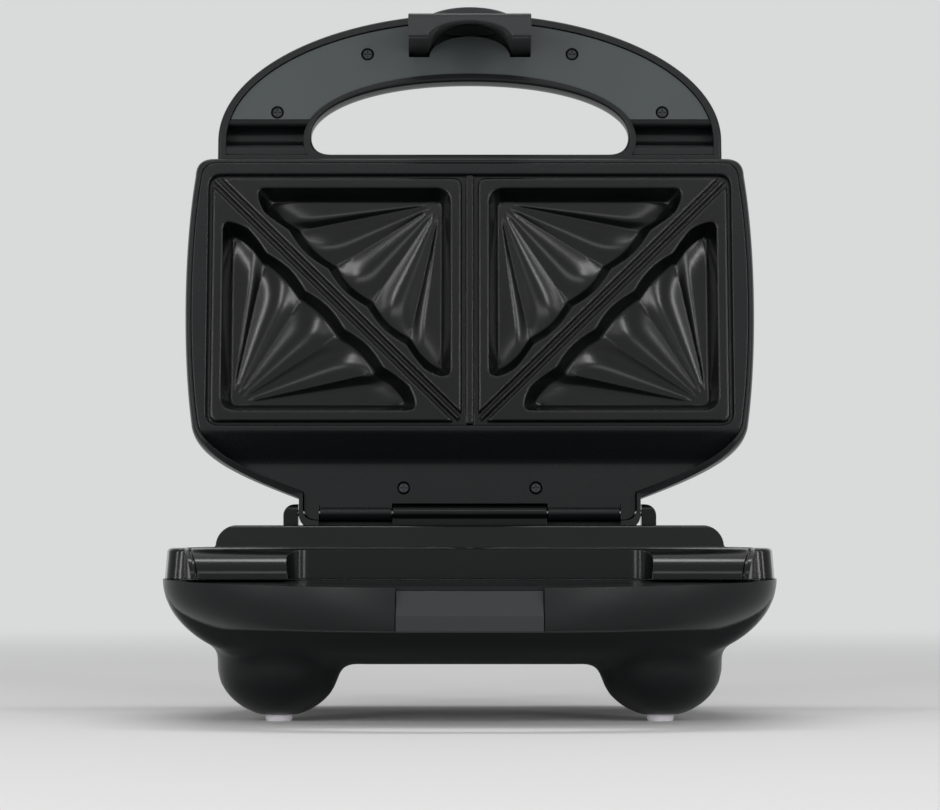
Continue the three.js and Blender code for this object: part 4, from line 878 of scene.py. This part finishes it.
def land_plan(place, margin):
    """The flat land round one pocket."""
    near, far = 1.3 + margin, cell - 2.4 * math.sqrt(2) - 1.3 - margin * (1 + math.sqrt(2))
    corners = [place(*spot) for spot in ((near, near), (far, near), (near, far))]
    return rounded_corners(corners, (3.6, 1.6, 1.6), 6)


def cell_places():
    """The four triangles: two in each cell, right angles in opposite corners."""
    for way in (-1, 1):
        yield lambda s, t, way=way: np.stack([way * (divider + s), t - cell_rear - cell], -1)
        yield lambda s, t, way=way: np.stack([way * (divider + cell - t), -cell_rear - s], -1)


def cooking_plate(depth_to):
    """A plate whose face lies at depth 0; depth_to turns a depth into a height."""
    front = cell_rear + cell
    face = rounded_box(divider + cell, cell_rear, front, 6)
    bar = rounded_box(divider - 0.65, cell_rear, front, 1.3)

    def raised(*steps):
        return solid([level(plan, depth_to(depth)) for plan, depth in steps])

    plate = raised((face, 2.9), (face, 5.2))
    lip = drawn_in(face, -1.5)
    joined(plate, raised((lip, 3.1), (lip, 5.2)),
           raised((bar, 4), (bar, 0.6), (drawn_in(bar, 0.2), 0.2), (drawn_in(bar, 0.6), 0)))
    for way in (-1, 1):
        start = np.array([way * divider, -cell_rear])
        end = np.array([way * (divider + cell), -front])
        along = (end - start) / np.linalg.norm(end - start)
        square = np.array([-along[1], along[0]])
        start, end = start + along * 3.6, end - along * 3.6
        joined(plate, raised(*(
            (np.array([start + square * w, start - square * w, end - square * w, end + square * w]),
             depth) for w, depth in [(0.95, 4), (0.95, 2.4), (0.75, 0.7), (0.5, 0.2), (0.2, 0)])))
    for place in cell_places():
        joined(plate, raised((land_plan(place, 0), 3.6), *(
            (land_plan(place, 1.1 * (1 - c)), 1.1 * (1 - s)) for s, c in arc(6))))
    for place in cell_places():
        back = land_plan(place, 1.3)
        joined(plate, raised((back, 3.4), (back, 11.8)))
    for place in cell_places():
        cut(plate, pocket_hollow(place, depth_to))
    return plate


lower_plate = cooking_plate(lambda depth: parting - 0.3 - depth)
plate_sharp = 40
seated(lower_plate, "lower_plate_coated", "base", "coated_plate", plate_black,
       "lower_cooking_plate", sharp=plate_sharp)

# ---- Heating elements ----
# Tubular heaters of scaled steel bent into a loop, which lie against the backs of the pockets
# with their two cold ends at the rear, one under the lower plate and one over the upper plate.
tube_tree, bench, given = new_tree("bent_tube", Geometry=["Path"], Float=["Radius"],
                                   Int=["Around"])
line = bench.node("GeometryNodeMeshToCurve", {"Mesh": given["Path"]})["Curve"]
circle = bench.node("GeometryNodeCurvePrimitiveCircle", {
    "Resolution": given["Around"], "Radius": given["Radius"],
})["Curve"]
tube = bench.node("GeometryNodeCurveToMesh",
                  {"Curve": line, "Profile Curve": circle, "Fill Caps": True})["Mesh"]
finished(bench, tube, given)


def tube_along(path, radius, around, finish):
    steps = [(i, i + 1) for i in range(len(path) - 1)]
    return grown(tube_tree, path, {"Radius": radius, "Around": around, "Finish": finish}, steps)


scaled_steel = plated("scaled_steel", srgb(84, 86, 88), 0.42)


def heater(height):
    right = drawn((14, -46), ((14, -52), 3), ((14, -62), (24, -62), 8), ((72, -62), 10),
                  ((82, -62), (82, -72), 8), ((82, -118), 10), ((82, -128), (72, -128), 8),
                  ((0, -128), 12))
    return tube_along(level(mirrored(right), height), 3.2, 20, scaled_steel)


seated(heater(parting - 15.6), "lower_heater_tube", "base", "heater_steel", scaled_steel,
       "lower_heating_element")

# ---- Reflector tray, thermostat and terminal block ----
# Hidden under the plate: a pressed tray of tinned sheet, the thermostat clipped below it, and
# the ceramic block where the supply cord is joined. Their CAD solids are kept.
tinned = plated("tinned_sheet", srgb(180, 182, 182), 0.30)
ceramic = rubber("glazed_ceramic", srgb(214, 210, 198))


def redress(node, material):
    """Gives a CAD mesh that is kept this material."""
    materials = frame["nodes"][node].data.materials
    materials.clear()
    materials.append(material)


redress("lower_heat_reflector", tinned)
redress("thermostat", ceramic)
redress("terminal_block", ceramic)

# ---- Hinge pin and cord gland ----
# A plain steel pin through all the barrels, and the rubber ring in the rear wall where the
# supply cord goes in.
pin_ends = [(1.1, 0), (1.4, 0.3)]
bright_steel = plated("bright_steel", srgb(190, 191, 193), 0.22)
seated(round_bar(-79.2, 79.2, pin_ends, 0, pin_height, 40), "hinge_pin_steel", "base",
       "fastener_steel", bright_steel, "hinge_pin")

gland_black = rubber("gland_black", srgb(30, 30, 32))
gland = solid([at_y(19.6 + y, ring(r, 56) + gland_place)
               for r, y in [(6.0, -8.3), (6.0, 2.7), (8.0, 2.7), (8.0, 4.7), (7.7, 5.2),
                            (7.2, 5.4), (4.2, 5.4), (2.0, 5.4)]])
cut(gland, along_y(ring(3.2, 48) + gland_place, 10, 30))
seated(gland, "cord_gland_rubber", "base", "gland_rubber", gland_black, "cord_gland")

# ---- Lid cover ----
# The domed outer half of the lid with the arch of the handle, one satin black moulding. The
# handle's inner side is a trough for the grey panel, with screw bosses and the latch's pivots,
# and a gutter crosses its arms where they leave the body.
cover_rim, handle_face, handle_roof, boss_root = 78.6, 80.6, 98.9, 100.25
handle_side, handle_reach, handle_rim = 113.5, 59.5, 3.6
latch_axis = (-221.5, 94)
handle_plan = arch_plan(handle_side, 141, 170, handle_reach, 56)
cover = shell(lid_plan, cover_rim, 32.5, 60, 60, 3.0, 26)
joined(cover, stacked(lid_plan, [(1.9 * (1 - s), cover_rim - 6 * c) for s, c in arc(8)]
                      + [(0.01, 80)]),
       shell(handle_plan, 89.6, 11.6, 9, 9, 3.0, 14),
       stacked(handle_plan, [(1.5 * (1 - s), 79.6 + 1.5 * (1 - c)) for s, c in arc(7)]
               + [(0.01, 91)]))
inside = stacked(lid_plan, [(wall, 68.6)] + [
    (wall + 60 * (1 - c ** (2 / 3)), cover_rim + 29.8 * s ** (2 / 3))
    for s, c in arc(12, 0, 0.9 * math.pi / 2)])


def finger_cutter(outset):
    """The lid's finger opening: its front edge is rounded, and it flares towards the back."""
    steps = [(outset, 65)]
    if not outset:
        steps = [(1.5, 65)] + [(1.5 * (1 - s), 81.1 - 1.5 * c) for s, c in arc(7)]
    steps += [(outset + 13 * (1 - c), 84.6 + 17 * s) for s, c in arc(12)] + [(outset + 16, 104.6)]
    return kept_in(solid([level(finger_plan(out), height) for out, height in steps]),
                   block(-wide, wide, -229.5, -finger_rear + max(outset, 1.5), 60, 110))


def handle_region(gap, rear, low, high):
    """The handle's inside, between its outer rim and the rim of the finger opening."""
    inset = handle_rim + gap
    plan = arch_plan(handle_side - inset, 150, 170, handle_reach - inset, 56)
    return cut(prism(plan, low, high), finger_cutter(3.5 + gap),
               block(-wide, wide, -rear, 0, low - 3, high + 3))


gutter = drawn((-179.7, 68), ((-179.7, 80.6), 1), ((-177.9, 80.7), (-177.0, 82.0), 8),
               ((-176.8, 86.5), 2), ((-176.4, 90.4), (-173.0, 90.4), 8),
               ((-169.2, 90.2), (-168.6, 86.0), 8), ((-168.3, 82.6), 2),
               ((-168.0, 80.9), (-166.2, 80.7), 6), ((-163.4, 80.7), 1), ((-162.7, 79.9), 3),
               ((-162.7, 68), 1))
cove = kept_in(along_x(gutter), handle_region(0, 160, 65, 96))
rear_cut = along_x([(10, 68.6), (10, 80.6), (-8, 80.6), (-30, 72.6), (-30, 68.6)])
cut(cover, inside, handle_region(0, 179.4, 65, handle_roof), cove, finger_cutter(0), rear_cut,
    block(-66.8, 66.8, -6, 10, 66, 90.6))
handle_screws = [(-46.3, -210.4), (46.3, -210.4), (-86.9, -183), (86.9, -183)]
joined(cover, *(post(boss, x, y, 83.5, boss_root) for x, y in handle_screws),
       *(block(x, x + 3, -225.7, -217.3, 83.5, boss_root) for x in (-34, 31)))
cut(cover, *(post(pilot, x, y, 80.5, 92.5) for x, y in handle_screws),
    block(-27.7, 27.7, -232.5, -208.7, 68.6, handle_roof), rod(pin_bore, 34.3, *latch_axis),
    rod(pin_bore, 82.5, 0, pin_height), *(post(3.9, x, -128, 105.4, 114.1) for x in (-9, 9)))
seated(cover, "lid_cover_moulding", "lid", "cover_plastic", cover_black, "lid_cover")

# ---- Lid frame ----
# The inner frame of the lid, satin black. It carries the upper cooking plate, slopes down to
# the hinge panel, and ends in the two barrels that turn on the pin. Two screws hold its rear.
under_line = drawn((10, 69.2), ((10, 84), 1), ((-18.5, 84), 1), ((-22.4, 84), (-24.3, 82.0), 8),
                   ((-33.0, 73.6), 3), ((-34.4, 72.2), (-36.6, 72.2), 6), ((-36.6, 69.2), 1))
above = kept_in(
    along_x([(-165, 92), (-165, 74.6), (-35.8, 74.6), (-22.7, 86.4), (12, 86.4), (12, 92)]),
    prism(drawn_in(lid_plan, 4.6), 60, 95))
lid_frame = stacked(lid_plan, [(2.85 + 0.7 * (1 - s), 72.2 + 0.7 * (1 - c)) for s, c in arc(6)]
                    + [(2.85, 78), (4, 86.7)])
window = [level(rounded_box(116.7 + r, 37.2 - r, 151.8 + r, 6 + r), z)
          for r, z in [(0.9, 70), (0.9, 72.2), (0.55, 72.27), (0.26, 72.46), (0.07, 72.75),
                       (0, 73.1), (0, 90)]]
cut(lid_frame, along_x(under_line), above, block(-66.8, 66.8, -4.0, 10, 60, 95), solid(window))
for way in (-1, 1):
    low, high = sorted((way * 34.5, way * 66.5))
    barrel = round_bar(low, high, [(2.6, 0), (2.9, 0.15), (3.0, 0.5)], 0, pin_height, 56)
    joined(lid_frame, barrel, block(low, high, -6.8, 0, 84, 86.4),
           post(boss, way * 29.3, -11, 84, 93.3))
    cut(lid_frame, post(2.95, way * 29.3, -11, 82, 86.2), post(pilot, way * 29.3, -11, 83, 95))
cut(lid_frame, rod(pin_bore, 82.5, 0, pin_height))
frame_satin = moulded("frame_satin", srgb(17, 19, 20), 0.26, grain=0.2, specular=0.24)
seated(lid_frame, "lid_frame_moulding", "lid", "frame_plastic", frame_satin, "lid_frame")

# ---- Upper cooking plate and the lid's inner pieces ----
# The same casting as below, facing down, with its heater loop, its tray and the thermal fuse
# in the dome behind it.
upper_plate = cooking_plate(lambda depth: parting + 0.3 + depth)
seated(upper_plate, "upper_plate_coated", "lid", "coated_plate", plate_black,
       "upper_cooking_plate", sharp=plate_sharp)
seated(heater(parting + 15.6), "upper_heater_tube", "lid", "heater_steel", scaled_steel,
       "upper_heating_element")
redress("upper_heat_reflector", tinned)
redress("thermal_fuse", ceramic)

# ---- Handle panel ----
# The grey satin inner half of the handle, set into the trough. A slot lets the latch through
# and leaves a rounded tongue between its legs; four screws hold it.
panel_grey = moulded("panel_grey", srgb(68, 73, 73), 0.55, grain=0.4, grain_scale=2200,
                     specular=0.25, edge=0.0003)
panel = handle_region(0.3, 179.7, handle_face, 83.2)
cut(panel, cut(block(-27.6, 27.6, -240, -209, 75, 90),
               prism(arch_plan(18.2, 208.7, 209, 9.8), 70, 95)))
for x, y in handle_screws:
    cut(panel, post(2.95, x, y, 79, 82.8), post(pilot, x, y, 79, 90))
seated(panel, "handle_panel_satin", "lid", "panel_plastic", panel_grey, "handle_panel", sharp=30)

# ---- Lid screws ----
# Four small blackened screws hold the handle panel and two hold the rear of the frame.
blacked = plated("blacked_steel", srgb(60, 63, 65), 0.42)
screws(handle_screws, 80.75, "handle_screw", "lid", blacked)
screws([(-29.3, -11), (29.3, -11)], 84.1, "hinge_screw", "lid", blacked)

# ---- Lamp lenses ----
# Two domed lenses in the crown of the cover, red for power and green for ready.
def lens_plastic(name, colour):
    """Clear tinted plastic, darker in patches, with a faint painted glow for the light behind it.
    """
    bench = new_finish(name)
    cloud = bench.noise(500.0)
    tone = bench.tone(cloud, shade(colour, 0.4), colour)
    return bench.surface({
        "Base Color": tone, "Roughness": 0.12 + cloud * 0.06, "Emission Color": tone,
        "Emission Strength": 0.12, "Coat Weight": 0.6,
    })


for name, way, slot_name, colour in [("power", -1, "red_lens", srgb(170, 22, 20)),
                                     ("ready", 1, "green_lens", srgb(26, 130, 44))]:
    crown = [(3.6 * c, 110.1 + s) for s, c in arc(9, 0, 1.45)]
    lens = turned([(3.3, 107.9), (3.6, 108.2), *crown], way * 9, -128, 48)
    seated(lens, name + "_lens_domed", "lid", slot_name, lens_plastic(name + "_lens", colour),
           name + "_light_lens")

# ---- Latch hook ----
# A horseshoe-shaped hook of satin plastic. Its nose snaps under the catch, and it turns on a
# pin behind the handle's front edge.
profile = np.array([(-204.6, 35.2), (-204.6, 38), (-209.6, 38), (-211.5, 94), (-211.5, 96.4),
                    (-227.4, 96.4), (-227.4, 86), (-215.3, 35.2)])
side_line = rounded_corners(profile, (1.3, 0.5, 0.3, 0.8, 0.8, 2.0, 3.0, 2.0), 5)
ends = [(27.2 - 0.48 * (1 - c), 0.48 * (1 - s)) for s, c in arc(5, math.pi / 2, 0)]
ends = [(-x, inset) for x, inset in ends[::-1]] + ends
hook = solid([at_x(x, moved_out(side_line, -inset)) for x, inset in ends])
hollow = [(18.8 + 1.1 * (1 - s), 8.1 + 1.1 * (1 - s), 36.3 - 1.1 * c) for s, c in arc(6)]
hollow = solid([level(arch_plan(side, 200.4, 203.4, reach), z)
                for side, reach, z in [(19.9, 9.2, 32.2), *hollow, (20.4, 22.4, 86.3)]])
cut(hook, hollow, rod(pin_bore, 34, *latch_axis))
seated(hook, "latch_hook_moulding", "latch", "cover_plastic", satin_grey, "latch_hook")

# ---- Thumb tab, latch pin and spring ----
# The thumb tab on the front of the hook with the oval button on its inner side, the steel pin
# through the hook and the handle's pivot blocks, and the coil that swings the hook home.
tab = solid([level(arch_plan(21 - 2.6 * (1 - c), 227.7, 227.7, 7.6 - 2.6 * (1 - c), 32),
                   89.5 + 3.5 * s) for s, c in arc(17, -math.pi / 2)])
button = stacked(np.array([19.0, 7.3]) * ring(1, 96) + (0, -227.0),
                 [(1.4, 84.6), (0.5, 84.8), (0.1, 85.3), (0, 86.6), (0, 87.4)])
tab_grey = moulded("tab_grey", srgb(36, 39, 40), 0.46, specular=0.26)
seated(joined(tab, button), "thumb_tab_oval", "latch", "cover_plastic", tab_grey,
       "latch_thumb_tab")
seated(round_bar(-34, 34, pin_ends, *latch_axis, 40), "latch_pin_steel", "lid",
       "fastener_steel", bright_steel, "latch_pin")
coil = [(27.75 + 2.7 * i / 100, latch_axis[0] + 1.95 * c, latch_axis[1] + 1.95 * s)
        for i, (s, c) in enumerate(arc(101, 0, 10 * math.pi))]
spring = tube_along(coil, 0.24, 10, bright_steel)
seated(spring, "latch_spring_coil", "lid", "fastener_steel", bright_steel, "latch_spring")
